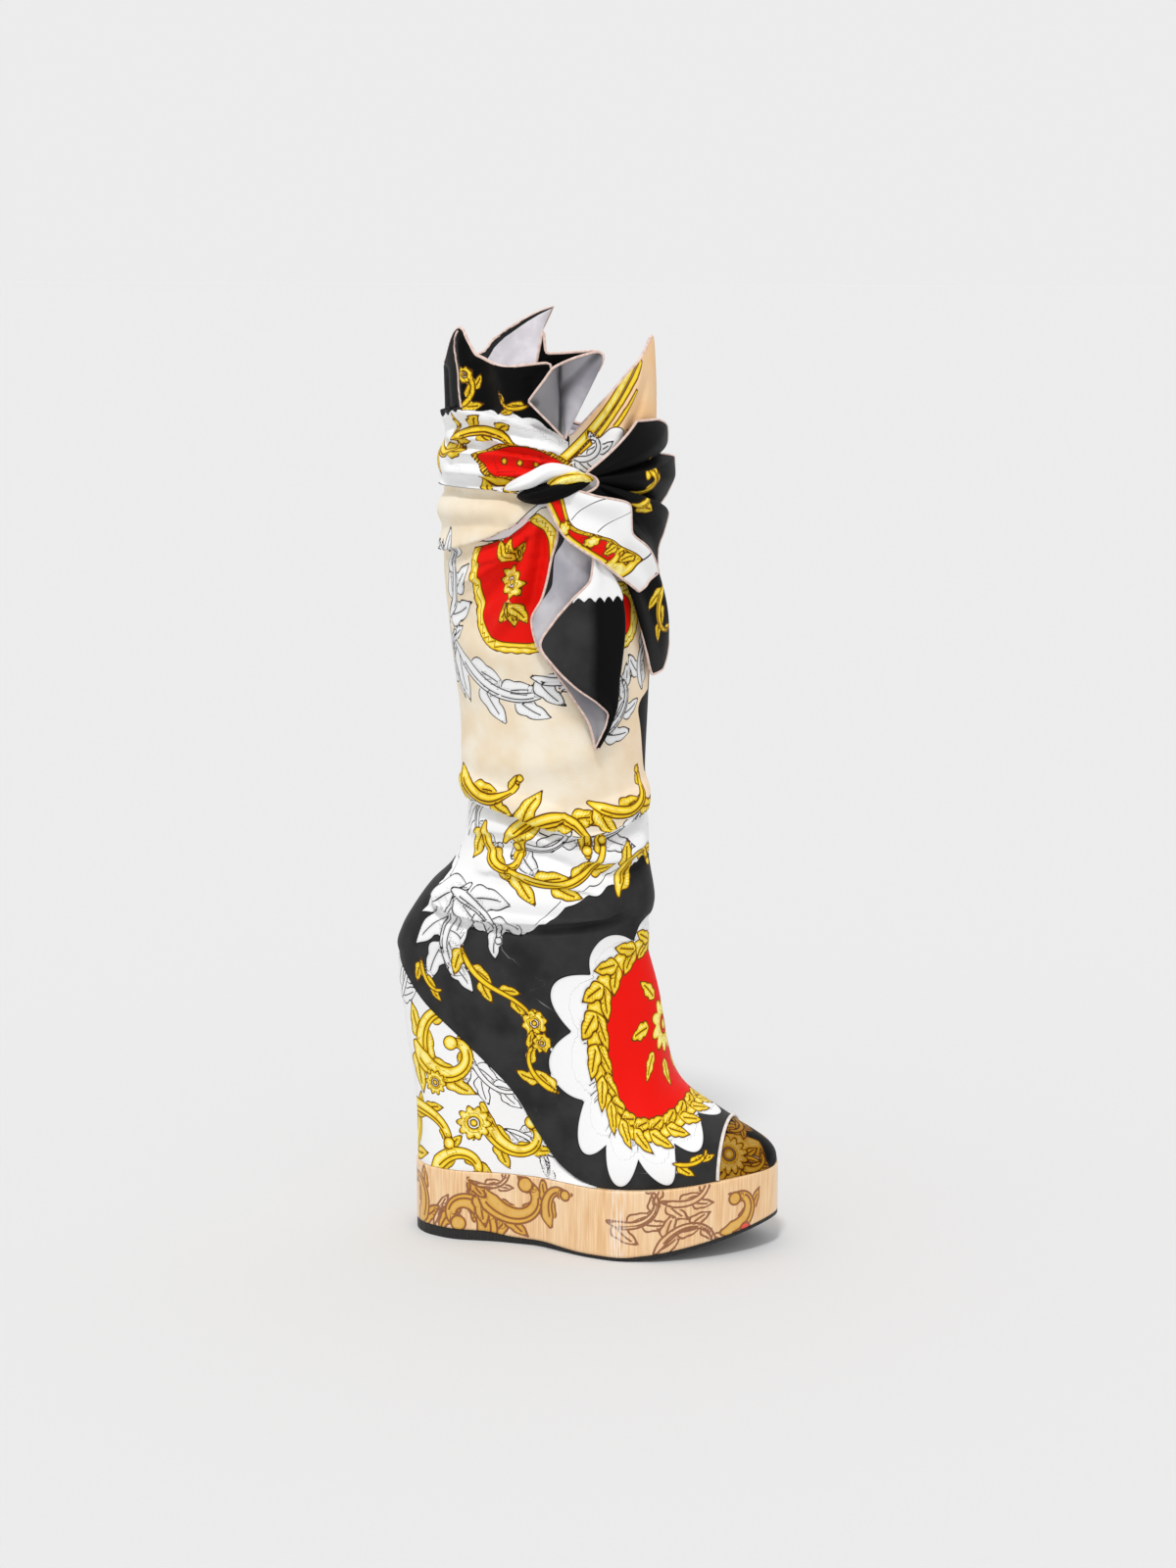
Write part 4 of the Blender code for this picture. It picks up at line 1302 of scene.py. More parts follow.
# The rolled lower edge of the pleat under the band is white, most at one angle on each side
Pleat = namedtuple("Pleat", "angle height")
PLEAT_EDGE = [Pleat(-172, 398), Pleat(-122, 404), Pleat(-102, 410), Pleat(-81, 426)]
ROLL_AT, ROLL_SPAN, ROLL_HALF, ROLL_RISE = 96, 22, 3.0, 1.5
pleat_line = curve(PLEAT_EDGE, "angle", "height", -np.abs(skin_angle))
pleat_half = ROLL_HALF * (1 - ((np.abs(skin_angle) - ROLL_AT) / ROLL_SPAN) ** 2)
pleat_roll = np.abs(skin_height - pleat_line - ROLL_RISE) - np.maximum(pleat_half, -FAR)
skin.lay("white", everywhere, pleat_roll)
print("the pleat's rolled edge is white on", np.sum(pleat_roll < 0), "points")

# %% Apricot flap, painted shade and painted sheen


def fade(values, start, end):
    """0 before the start and 1 after the end."""
    return np.clip((values - start) / (end - start), 0, 1)


# The front flap is apricot, the right of the shaft is painted warmer as shade, and the foot's
# black is painted lighter, to charcoal, as sheen
PAINTED_SHADE_FRONT = 0.45
warm_flap = fade(skin_height, 440, 460) * fade(skin_angle, -66, -54)
painted_shade_front = fade(skin_angle, -48, 2) * fade(skin_angle, 120, 60) * fade(skin_height, 400, 360)
skin.fields["warm"] = np.maximum(warm_flap, PAINTED_SHADE_FRONT * painted_shade_front)
skin.fields["worn"] = fade(skin_height, 230, 210)
print(f"{np.mean(skin.fields['warm'] > 0):.0%} of the upper's points are warmer")

# %% [markdown]
# ## The print
#
# The print is a design of its own: leafy sprays, flowers and framed panels in gold, white and red.
# Each row below is one spray, with its middle, its colour, the way it points and how it bends. The
# inner side repeats the outer side's sprays as in a mirror. A repeat from a shader's texture would
# be shorter, but it would not follow the cloth's edges.

# %% Sprays on the shaft
SHAFT_SPRAYS = [
    Spray(-121, 488, "gold", 72, 24, 1.4, 1, 1.5, 4, 12, 5),
    Spray(-97, 480, "gold", 168, 20, -0.8, -1.2, 1.2, 3, 10),
    Spray(-142, 454, "gold", 14, 46, 1.4, 2, 3, 4, 18),
    Spray(-110, 467, "gold", -6, 62, -0.7, -0.9, 2.4, 6, 14),
    Spray(-98, 441, "gold", 4, 40, 0.8, 0.6, 1.8, 5, 12),
    Spray(-140, 384, "leaf", 84, 56, 1.1, 1.2, 3, 6, 26),
    Spray(-154, 336, "leaf", 95, 44, -0.8, -0.9, 2.4, 5, 23),
    Spray(-106, 322, "leaf", -14, 92, 1.3, 0.8, 4.2, 7, 30),
    Spray(-66, 332, "leaf", 24, 44, 1.2, 1.6, 2.8, 4, 22),
    Spray(-30, 312, "leaf", 60, 44, 1, 1.2, 2.4, 5, 20),
    Spray(-34, 366, "gold", 100, 40, 1.4, 2, 3.2, 4, 20),
    Spray(-16, 340, "leaf", 80, 40, -1.2, -1.4, 2.2, 5, 18),
    Spray(36, 384, "gold", 84, 60, 1.2, 1.6, 2.8, 6, 20, 7),
    Spray(-136, 243, "leaf", -64, 40, 0.8, 1, 2.6, 3, 24),
    Spray(-86, 234, "leaf", 4, 46, 0.8, 1.2, 2.6, 3, 24),
    Spray(-30, 246, "leaf", 30, 40, 0.8, 1, 2.6, 3, 22),
    Spray(-124, 264, "gold", -10, 56, 1, 1, 3.4, 4, 20),
    Spray(-80, 255, "gold", 4, 72, -1.5, -1.4, 4, 5, 24),
    Spray(-26, 258, "gold", 16, 54, 1.2, 1.6, 3.2, 4, 19),
    Spray(-114, 224, "gold", -34, 52, 1.7, 2.4, 3.8, 4, 21),
    Spray(-68, 216, "gold", 14, 70, 1.3, 0.8, 3.6, 6, 21),
    Spray(-24, 228, "gold", 36, 48, -1.2, -1.8, 3.2, 4, 18),
    Spray(-28, 449, "leaf", 36, 34, 1.4, 1.8, 2.4, 4, 18),
]
MIRROR_FROM = -50  # sprays further round than this have a twin on the inner side
for spray in SHAFT_SPRAYS:
    print_on_shaft(spray)
    if spray.a < MIRROR_FROM:
        print_on_shaft(spray, mirror=-1)
print(len(SHAFT_SPRAYS), "sprays lie on the shaft")

# %% Panels on the shaft
PANELS = [Panel(side * 97, 384, 21, 34, 14, 5.0) for side in (-1, 1)]
PANEL_END = Panel(-42, 364, 15.3, 12.5, 9, 6.0)  # of another one, beside the hanging scarf end
PANEL_REACH = 60  # further than any panel's corner
PANEL_TUCK = 1.5  # how far below the pleat's rolled edge the panel comes out
PANEL_FLOWER, PANEL_LEAF, PANEL_LEAF_AT = 9, 15, 11
LEAF_FAN = (-0.6, 0.0, 0.6)
BEAD = 7  # from one bead of the frame to the next


def print_panel(panel, tuck=-FAR):
    """A red panel with a beaded gold frame. It is cut off where tuck is above 0."""
    near, along, across = shaft_patch(panel, PANEL_REACH)
    outside = panel_shape(along, across, panel)
    bead = np.abs(np.sin((along + across) * np.pi / BEAD))
    tuck = np.broadcast_to(tuck, skin_height.shape)[near]
    skin.lay("gold", near, np.maximum(outside - panel.frame - bead, tuck))
    skin.lay("red", near, np.maximum(outside, tuck))
    return near, along, across


for panel in PANELS:
    near, along, across = print_panel(panel, skin_height - pleat_line + PANEL_TUCK)
    print_rosette(skin, near, along, across, PANEL_FLOWER, "gold")
    for rise in (-1, 1):
        for lean in LEAF_FAN:
            leaf = turned(along, across - PANEL_LEAF_AT * rise, np.pi / 2 * rise + lean)
            print_leaf(skin, "gold", near, *leaf, PANEL_LEAF)
print(len(PANELS), "red panels lie on the shaft")

# %% Front flap, front piece and lenses
# Long stripes along the left edge of the front flap
Stripe = namedtuple("Stripe", "offset half end")
FLAP_STRIPES = [Stripe(5.0, 2.4, 48), Stripe(0.2, 1.5, 36), Stripe(-4.6, 1.1, 20)]
STRIPE_BOW = 0.0012
near, along, across = skin.patch(on_shaft(-40, 476), PANEL_REACH, turn=50)
for stripe in FLAP_STRIPES:
    beside = np.abs(across - stripe.offset - STRIPE_BOW * along**2) - stripe.half
    skin.lay("gold", near, np.maximum(beside, along - stripe.end), layer="stem_ink")

# The foot of the flap is white, with a leafy curl
FLAP_FOOT = Panel(-52, 457, 20, 7.5, 7)
FLAP_DROP = 4
FLAP_CURL = Spray(-52, 455, "leaf", 40, 26, 1.5, 2.0, 1.8, 4, 13)
near, along, across = shaft_patch(FLAP_FOOT, 40, turn=38)
skin.lay("white", near, panel_shape(along, across + FLAP_DROP, FLAP_FOOT))
print_on_shaft(FLAP_CURL)
print_panel(PANEL_END)

# A black piece of the print, round the front, with a spray of its own
FRONT_PIECE = Panel(32, 304, 31, 24, 8)
FRONT_SPRAY = Spray(36, 320, "gold", -84, 60, 1.2, 1.6, 2.8, 6, 20, 7)
near, along, across = shaft_patch(FRONT_PIECE, PANEL_REACH, turn=20)
skin.lay("black", near, panel_shape(along, across, FRONT_PIECE))
print_on_shaft(FRONT_SPRAY)

# A red lens in the wrapped band, between two arcs, edged with gold and with three dots
Lens = namedtuple("Lens", "angle height arc_centre arc_radius frame")
LENSES = [Lens(side * 92, 451, 34, 42.5, 2.2) for side in (-1, 1)]
LENS_DOTS = (-9, 0, 9)
DOT_RADIUS = 1.7
for lens in LENSES:
    near, along, across = shaft_patch(lens, 45, turn=-5)
    outside = np.hypot(along, np.abs(across) + lens.arc_centre) - lens.arc_radius
    skin.lay("gold", near, outside - lens.frame)
    skin.lay("red", near, outside)
    for step in LENS_DOTS:
        skin.lay("gold", near, np.hypot(along - step, across) - DOT_RADIUS)
print(len(FLAP_STRIPES), "stripes and", len(LENSES), "lenses lie on the shaft")

# %% The vamp as a flat sheet
FLOWER_HEIGHT = 127
VAMP_REACH = 100
VAMP_TOP = 215
middle = SKIN_TURNS // 2
over_steps = np.linalg.norm(np.diff(flat_points, axis=1), axis=-1)
over_ridge = np.cumsum(np.insert(over_steps, 0, 0, axis=1), axis=1)
over_ridge -= over_ridge[:, middle : middle + 1]
up_steps = np.linalg.norm(np.diff(flat_points[:, middle], axis=0), axis=-1)
up_ridge = np.cumsum(np.insert(up_steps, 0, 0))
flower_row = np.argmin(np.abs(flat_points[:FOOT_ROWS, middle, 2] - FLOWER_HEIGHT))
across_vamp = over_ridge.reshape(-1)
along_vamp = np.repeat(up_ridge - up_ridge[flower_row], SKIN_TURNS + 1)
on_vamp = (np.hypot(across_vamp, along_vamp) < VAMP_REACH) & (skin_height < VAMP_TOP)
on_vamp = np.flatnonzero(on_vamp)
across_vamp, along_vamp = across_vamp[on_vamp], along_vamp[on_vamp]
print("the flower on the vamp lies on", len(on_vamp), "points")

# %% The flower on the vamp
Ring = namedtuple("Ring", "half_across half_along petals depth", defaults=(0, 0.0))
WHITE_FLOWER = Ring(94, 66, 16, 0.17)
WREATH = Ring(66, 54)
RED_FIELD = Ring(55, 46)
WREATH_STEM = Ring(60.5, 50.0)


def vamp_ring(ring):
    """Distance from an oval or petalled ring on the vamp, and the angle round it."""
    turn = np.arctan2(along_vamp / ring.half_along, across_vamp / ring.half_across)
    reach = np.hypot(along_vamp / ring.half_along, across_vamp / ring.half_across)
    edge = 1 - ring.depth * (1 - np.abs(np.cos(ring.petals * turn / 2)))
    return (reach - edge) * min(ring.half_across, ring.half_along), turn


white_flower, flower_turn = vamp_ring(WHITE_FLOWER)
skin.lay("leaf", on_vamp, white_flower, np.full_like(flower_turn, HATCH / 2))

# Each petal has three veins
VEINS = (-5, 0, 5)
VEIN_START, VEIN_END, VEIN_HALF = 4, 18, 2.4
PETAL_RADIUS = 80  # turns an angle in a petal into a length
petal_turn = (flower_turn * WHITE_FLOWER.petals / (2 * np.pi)) % 1 - 0.5
petal_side = petal_turn * 2 * np.pi / WHITE_FLOWER.petals * PETAL_RADIUS
for offset in VEINS:
    on_vein = (white_flower < -VEIN_START - abs(offset)) & (white_flower > -VEIN_END)
    on_vein &= np.abs(petal_side - offset) < VEIN_HALF
    skin.draw("vein_ink", on_vamp[on_vein], (petal_side - offset)[on_vein])
skin.lay("gold", on_vamp, vamp_ring(WREATH)[0])
skin.lay("red", on_vamp, vamp_ring(RED_FIELD)[0])
WREATH_LEAVES, WREATH_LEAF, WREATH_LEAN = 28, 15, 0.55
for number in range(WREATH_LEAVES):
    turn = 2 * np.pi * number / WREATH_LEAVES
    from_across = across_vamp - WREATH_STEM.half_across * np.cos(turn)
    from_along = along_vamp - WREATH_STEM.half_along * np.sin(turn)
    for lean in (WREATH_LEAN, -WREATH_LEAN):
        leaf = turned(from_across, from_along, turn + np.pi / 2 + lean)
        print_leaf(skin, "gold", on_vamp, *leaf, WREATH_LEAF)
print_rosette(skin, on_vamp, across_vamp, along_vamp, 16, "gold", "red", 10)
HEART_SPRIGS, SPRIG_START, SPRIG_LENGTH, SPRIG_BEND = 8, 19, 16, 0.15
for number in range(HEART_SPRIGS):
    turn = 2 * np.pi * (number + 0.5) / HEART_SPRIGS
    leaf_along, leaf_across = turned(across_vamp, along_vamp, turn)
    leaf = (leaf_along - SPRIG_START, leaf_across)
    print_leaf(skin, "gold", on_vamp, *leaf, SPRIG_LENGTH, SPRIG_BEND, lobes=3)
print(WHITE_FLOWER.petals, "petals and", 2 * WREATH_LEAVES, "leaves in the wreath")

# %% Sprays and scuffs on the foot
FOOT_SPRAYS = [
    Spray(-6, 186, "leaf", -108, 58, 0.5, 0.8, 4, 6, 36),
    Spray(18, 198, "leaf", -40, 44, -0.6, -0.8, 3.2, 5, 27),
    Spray(23, 151, "gold", -28, 66, 2.8, -2.4, 1.9, 6, 17, 8),
    Spray(44, 106, "gold", 118, 44, -1.2, -1.6, 1.8, 4, 17, 6),
    Spray(-20, 152, "gold", -60, 26, 0.8, 1, 1.5, 3, 13),
    Spray(138, 56, "gold", 10, 24, 0.6, 1, 1.4, 3, 12),
]
for side in (-1, 1):
    print_side(skin, FOOT_SPRAYS, side)

SCUFFS = table("x z turn length", [
    (40, 164, -35, 14),
    (56, 142, -30, 16),
    (30, 172, -50, 7),
    (44, 86, -60, 10),
    (118, 52, 5, 12),
    (4, 160, -70, 8),
])
SCUFF_BEND = 0.1
for scuff in SCUFFS:
    near, along, across = skin.side_patch(scuff, -1, scuff.length, scuff.turn)
    path, _ = stem_path(scuff.length, SCUFF_BEND, 0.0)
    skin.draw("scuff", near, stroke_shape(along, across, path, 0, 0)[1])
print(len(FOOT_SPRAYS), "sprays on each side of the foot, and", len(SCUFFS), "scuffs")

# %% [markdown]
# ## Creases
#
# Slack cloth falls into folds where it is tied and where the leg bends. A cloth simulation would
# fold it too, but not where this boot's folds lie. So each crease is placed one by one, as a soft
# ridge or trough along a curve round the shaft. Each row is one crease by its start, middle and
# end, with half its width at both ends. A rise above 0 is a ridge and below 0 a trough. Lean above
# 0 makes the lower side steep, so the cloth lies over what is below it: the crest also slides down
# past the trough.

# %% Where the creases lie
CREASE_PARTS = "angle_a height_a angle_m height_m angle_b height_b half_a half_b rise lean"
CREASES = table(CREASE_PARTS, [
    # wraps that gather towards the knot
    (-175, 472, -122, 476, -70, 463, 4, 2.4, 3.6, -0.6),
    (-165, 465, -115, 469, -71, 459, 2.2, 1.8, -2.4),
    (-160, 460, -105, 463, -70, 455, 2.8, 1.8, 3, 0.6),
    (-156, 456, -105, 458, -72, 451, 1.8, 1.5, -2.2),
    (-150, 452, -104, 454, -74, 450, 2.4, 1.6, 2.6, 0.6),
    (-148, 448, -106, 449, -78, 447, 1.8, 1.5, -2.4),
    (-152, 444, -112, 445, -82, 445, 2.4, 1.6, 2.6, 0.6),
    (-152, 440, -115, 440, -84, 441, 1.8, 1.5, -2.4),
    (-175, 437, -125, 437, -84, 436, 3.4, 2.2, 3.2, 0.75),
    (-172, 432, -125, 432, -84, 430, 2.2, 2, -2.4),
    # the smooth pleat below them and its rolled edge
    (-172, 421, -122, 422, -84, 429, 9, 4, 1.8),
    (-170, 401, -122, 407, -81, 428, 5, 2.8, 4.2, 0.75),
    (-168, 396, -122, 402, -82, 423, 3, 2.6, -2.4),
    (-124, 395, -102, 401, -84, 415, 3.4, 2.4, 2.2, 0.6),
    # folds that run from the knot into the panel
    (-83, 420, -88, 398, -100, 362, 2.4, 4.5, 4),
    (-80, 416, -82, 395, -90, 362, 2.2, 3.6, -3.6),
    (-126, 364, -102, 388, -87, 412, 4.2, 2.6, -3.6),
    (-138, 380, -108, 393, -90, 411, 4, 2.6, 3, 0.5),
    (-116, 352, -97, 372, -86, 398, 4, 2.6, 2.6),
    (-152, 372, -128, 362, -100, 352, 7, 6, -1.3),
    (-156, 356, -125, 346, -85, 340, 8, 7, 1.1),
    # the lower shaft
    (-165, 318, -120, 312, -60, 322, 9, 8, -1),
    (-170, 288, -110, 281, -35, 293, 9, 8, 1.6, 0.2),
    # the overlap above the ankle
    (-172, 264, -112, 258, -72, 245, 7, 4.5, 4.2, 0.8),
    (-78, 246, -45, 247, 10, 262, 4.5, 7, 3.8, 0.8),
    (-168, 258, -112, 252, -70, 239, 3, 2.6, -2.8),
    (-74, 240, -42, 241, 6, 255, 2.6, 3, -2.6),
    # slack cloth round the ankle
    (-152, 238, -115, 243, -80, 237, 5, 4, 2.4, 0.5),
    (-142, 227, -100, 232, -62, 221, 3, 2.6, -2.4),
    (-130, 219, -90, 219, -45, 207, 5, 4, 2.6, 0.5),
    (-62, 232, -35, 228, -4, 238, 4, 4, 2.2, 0.4),
    (-62, 224, -30, 219, 0, 229, 2.8, 2.8, -2.2),
    (-150, 203, -98, 193, -20, 202, 7, 6, 3.8, 0.75),
    (-150, 197, -98, 187, -20, 196, 2.6, 2.4, -3.2),
    (-130, 179, -95, 175, -42, 180, 6, 6, 1),
    (-34, 184, 0, 188, 34, 184, 4, 4, -1.4),
    (-34, 174, 0, 178, 34, 174, 5, 5, 1.2),
    # flutes of the collar
    (-128, 470, -127, 495, -130, 521, 6, 4, 3),
    (-113, 470, -113, 488, -116, 507, 6, 6, -2.8),
    (-97, 472, -98, 486, -99, 502, 6, 6, 2.2),
    (-78, 462, -83, 480, -86, 502, 5, 6, -2.8),
    (-152, 470, -155, 486, -157, 503, 6, 6, -2.6),
    (-48, 444, -36, 470, -18, 504, 4, 3, 2),
    (-40, 444, -28, 466, -10, 496, 3, 3, -1.6),
], defaults=(0,))
print(len(CREASES), "creases on the outer side")

# %% Creases of the upper
INNER_CREASES = 0.8  # how strong the same creases are on the inner side
CREASE_FADE = 0.14
CREASE_STEPS = 30
CREASE_REACH = 3.2  # times its half width, where a crease has died away


def through_middle(start, middle, end):
    """Values of a parabola through a start, a middle and an end."""
    share = np.linspace(0, 1, CREASE_STEPS)
    weights = (1 - share) * (1 - 2 * share), 4 * share * (1 - share), share * (2 * share - 1)
    return weights[0] * start + weights[1] * middle + weights[2] * end


def crease_lift(crease, mirror):
    """How far one crease moves each grid point out of the cloth."""
    angle = through_middle(crease.angle_a, crease.angle_m, crease.angle_b)
    height = through_middle(crease.height_a, crease.height_m, crease.height_b)
    path = shaft_point(mirror * angle, height, collar_lean(mirror * angle, height))
    path = np.array([skin.points[skin.nearest(point)] for point in path])
    widest = CREASE_REACH * max(crease.half_a, crease.half_b)
    low, high = path.min(0) - widest, path.max(0) + widest
    near = np.flatnonzero(((skin.points > low) & (skin.points < high)).all(1))
    gap, run, step, arm = beside_path(skin.points[near], path)
    above = (np.cross(step, arm) * skin.normals[near]).sum(-1) * mirror > 0
    half = crease.half_a + (crease.half_b - crease.half_a) * run
    half = half * np.where(above, 1 + crease.lean, 1 - crease.lean)
    ends = np.clip(run / CREASE_FADE, 0, 1) * np.clip((1 - run) / CREASE_FADE, 0, 1)
    lift = np.zeros(len(skin.points))
    lift[near] = crease.rise * np.exp(-((gap / half) ** 2)) * ends
    return lift


OVERHANG = 0.8  # how far a leaning crest slides, as a share of its rise
FRONT_END = -30  # a crease that runs on past this angle has no twin on the inner side
crease_height = np.zeros(len(skin.points))
crease_slide = np.zeros(len(skin.points))
for crease in CREASES:
    for mirror, strength in ((1, 1.0), (-1, INNER_CREASES)):
        if mirror > 0 or crease.angle_b < FRONT_END:
            lift = strength * crease_lift(crease, mirror)
            crease_height += lift
            crease_slide += OVERHANG * crease.lean * lift
skin_normals = grid_normals(skin_points)
downhill = skin_normals * skin_normals[..., 2:] - UP
downhill /= np.maximum(np.linalg.norm(downhill, axis=-1, keepdims=True), 1e-9)
lift_grid = crease_height.reshape(skin_points.shape[:2])[..., None]
slide_grid = crease_slide.reshape(skin_points.shape[:2])[..., None]
skin_grid = skin_points + skin_normals * lift_grid + downhill * slide_grid
lowest, highest = crease_height.min().round(1), crease_height.max().round(1)
print("creases move the cloth by", lowest, "to", highest, "mm")

# %% The upper's skin
rows, columns = skin_grid.shape[:2]
closed_rows = np.arange(FOOT_ROWS - 1, rows)
add_piece(
    "upper_skin", skin_grid.reshape(-1, 3), grid_faces(rows, columns, closed_rows),
    upper_print, ["upper"], skin.fields,
)

# %% Lining
LINING_STEP = 2
LINING_REACH = 6
LINING_DROP = (474.0, 488.0)
LINING_SLACK = 0.5


def thinned(grid):
    """Fewer rows and columns, with the row at the rim kept."""
    return grid[::-LINING_STEP, ::LINING_STEP][::-1]


def lowest_near(lift):
    """The lowest lift within some grid steps."""
    for _ in range(LINING_REACH):
        wide = np.pad(lift, ((1, 1), (1, 1), (0, 0)), mode="edge")
        rows_low = np.minimum(wide[:-2, 1:-1], wide[2:, 1:-1])
        lift = np.minimum(lift, np.minimum(rows_low, np.minimum(wide[1:-1, :-2], wide[1:-1, 2:])))
    return lift


# Below the collar the lining lies under every trough, and at the rim it meets the hem
at_rim = fade(skin_points[..., 2:], *LINING_DROP)
lining_lift = at_rim * lift_grid + (1 - at_rim) * (lowest_near(lift_grid) - LINING_SLACK)
lining_grid = skin_points + skin_normals * (lining_lift - WALL) + downhill * slide_grid * at_rim
lining_grid = thinned(lining_grid)

# The black outer cloth rolls over the rim of the far point
ROLLED_RIM = table("angle width", [
    (108, -2),
    (115, 0.2),
    (119, 2),
    (126, 3.4),
    (135, 4.4),
    (142, 6),
    (152, -2),
])
below_rim = skin_points[-1:, :, 2] - skin_points[..., 2]
roll_width = curve(ROLLED_RIM, "angle", "width", np.linspace(-180, 180, columns))
rolled = thinned(below_rim - roll_width)
lining_rows, lining_columns = lining_grid.shape[:2]
lining_closed = np.flatnonzero(np.arange(rows)[::-LINING_STEP][::-1] >= FOOT_ROWS - 1)
lining_faces = grid_faces(lining_rows, lining_columns, lining_closed)[:, ::-1]
add_piece(
    "upper_lining", lining_grid.reshape(-1, 3), lining_faces,
    lining_cloth, ["upper"], fields={"rolled": rolled.reshape(-1)},
)

# %% Hems of the collar
HEM_RADIUS = 0.95
HEM_STEP = 1.5
rim_path = skin_grid[-1, :-1] - grid_normals(skin_grid)[-1, :-1] * WALL / 2
add_tube("collar_hem", rim_path, HEM_RADIUS, hem_cloth, ["upper"], closed=True)

# The cloth's own edge runs down from the back point of the collar
EDGE_RUN = [(-131, 521), (-135, 511), (-132, 501), (-131, 491), (-129, 484), (-127, 479)]
EDGE_RADIUS = 0.6
edge_angles, edge_heights = np.array(EDGE_RUN, float).T
edge_path = []
for drop in np.linspace(-edge_heights[0], -edge_heights[-1], 40):
    spot = on_shaft(smooth(-edge_heights, edge_angles, drop), -drop)
    edge_path.append(skin_grid.reshape(-1, 3)[spot] + EDGE_RADIUS / 2 * skin.normals[spot])
edge_path = evenly(np.array(edge_path), HEM_STEP)
add_tube("collar_edge_hem", edge_path, EDGE_RADIUS, hem_cloth, ["upper"])

# %% [markdown]
# ## The toe cap and its bound edge
#
# The toe is darker than the rest, behind a pale bound edge that runs over the foot. Both could be
# cut from the upper's skin. They are pieces of their own because the real ones are sewn on: the cap
# lies a little lower than the skin, and the bound edge is a tube over the seam.

# %% Toe cap
TOE_STEP = 0.6
TOE_TURNS = 130
TOE_ROWS = 60
toe_stations = np.linspace(STATIONS[0], SEAM_STATION - GAP / 2, TOE_ROWS)
toe_grid, _ = upper_points(toe_stations, np.linspace(0, 1, TOE_TURNS + 1), inset=TOE_STEP)
toe_cloth = Cloth(toe_grid, "black")
TOE_SPRAYS = [
    Spray(168, 54, "gold", -24, 26, -1, -1.4, 2.4, 5, 13),
    Spray(170, 49, "gold", 8, 22, 1, 1.4, 2.2, 4, 11),
    Spray(154, 50, "gold", 60, 24, 1, 1.4, 2.2, 4, 13),
    Spray(158, 70, "gold", -20, 30, 0.8, 1.2, 2.2, 5, 13),
]
Band = namedtuple("Band", "height slope bow half end slant")
TOE_BANDS = [Band(10, 0.0, -0.016, 6.5, 21, -0.4), Band(-9, 0.25, 0.0, 3.2, 19, 0.4)]
TOE_OVAL = Flower(158, 56, 15)
OVAL_STRETCH = 0.8
TOE_FLOWER = Flower(155, 59, 12)
TOE_BUTTON = 3.2
for side in (-1, 1):
    near, along, across = toe_cloth.side_patch(TOE_OVAL, side, 4 * TOE_OVAL.radius)
    ahead = -side * along
    oval = np.hypot(ahead * OVAL_STRETCH, across) - TOE_OVAL.radius
    toe_cloth.lay("leaf", near, oval, ahead + across)
    for band in TOE_BANDS:
        beside = across - (band.height + band.slope * ahead + band.bow * ahead**2)
        shape = np.maximum(np.abs(beside) - band.half, ahead - band.end)
        toe_cloth.lay("gold", near, shape, ahead + band.slant * across, "leaf_ink")
    print_side(toe_cloth, TOE_SPRAYS, side)
    near, along, across = toe_cloth.side_patch(TOE_FLOWER, side, 2.5 * TOE_FLOWER.radius)
    print_rosette(toe_cloth, near, along, across, TOE_FLOWER.radius, "gold", "leaf", 14)
    toe_cloth.lay("gold", near, np.hypot(along, across) - TOE_BUTTON, layer="vein_ink")
toe_faces = [*grid_faces(*toe_grid.shape[:2]), np.arange(TOE_TURNS, -1, -1)]
add_piece(
    "toe_skin", toe_cloth.points, toe_faces, toe_print, ["toe_cap"], toe_cloth.fields
)

# %% Bound edge of the toe
PIPING_RADIUS = 1.0
PIPING_OUT = 0.6
PIPING_ENDS = (0.004, 0.996)
piping_turns = np.linspace(*PIPING_ENDS, 140)
piping_path, _ = upper_points([SEAM_STATION], piping_turns, inset=-PIPING_OUT)
piping_path = piping_path[0]
add_tube("toe_binding", piping_path, PIPING_RADIUS, binding_cloth, ["toe_piping"], 10)

# %% [markdown]
# ## The scarf
#
# The knot is three pointed rolls of twisted pleats, in black, white and gold. From it one end hangs
# folded in two, so its grey wrong side shows beside the black face, and the other fans out over the
# front of the shaft under a strip in white, red and gold. Each end is thin cloth with a rolled hem
# all round. A tied cloth could be simulated, but the folds would fall anew each time, so the edges
# of each end are rows of a table and the cloth is spanned between them.

# %% The knot
Place = namedtuple("Place", "angle height out")
KnotRoll = namedtuple("KnotRoll", "name colour half_height half_depth pleats places")
KNOT_ROLLS = [
    KnotRoll("scarf_knot", "black", 5.2, 6.0, 4, [
        Place(-93, 432, 3.0), Place(-82, 433.5, 5.5), Place(-70, 437, 6.5), Place(-55, 442, 4.0),
    ]),
    KnotRoll("scarf_knot_fold", "leaf", 4.6, 5.6, 3, [
        Place(-100, 436, 2.5), Place(-86, 441, 5.5), Place(-74, 446.5, 6.0), Place(-61, 446, 3.5),
    ]),
    KnotRoll("scarf_knot_tuck", "gold", 3.4, 5.4, 3, [
        Place(-78, 439, 6.0), Place(-70, 442, 7.5), Place(-63, 443, 7.0), Place(-54, 441.5, 4.0),
    ]),
]
ROLL_ROWS = 80
ROLL_TURNS = 72
ROLL_ENDS = 0.1  # the rows start and end this far from the points, in radians
ROLL_TWIST = 5.0
ROLL_POINT = 0.6  # below 1, the ends are blunter
PLEAT_DEPTHS = (0.10, 0.05)
KNOT_STRIPE = 7.0


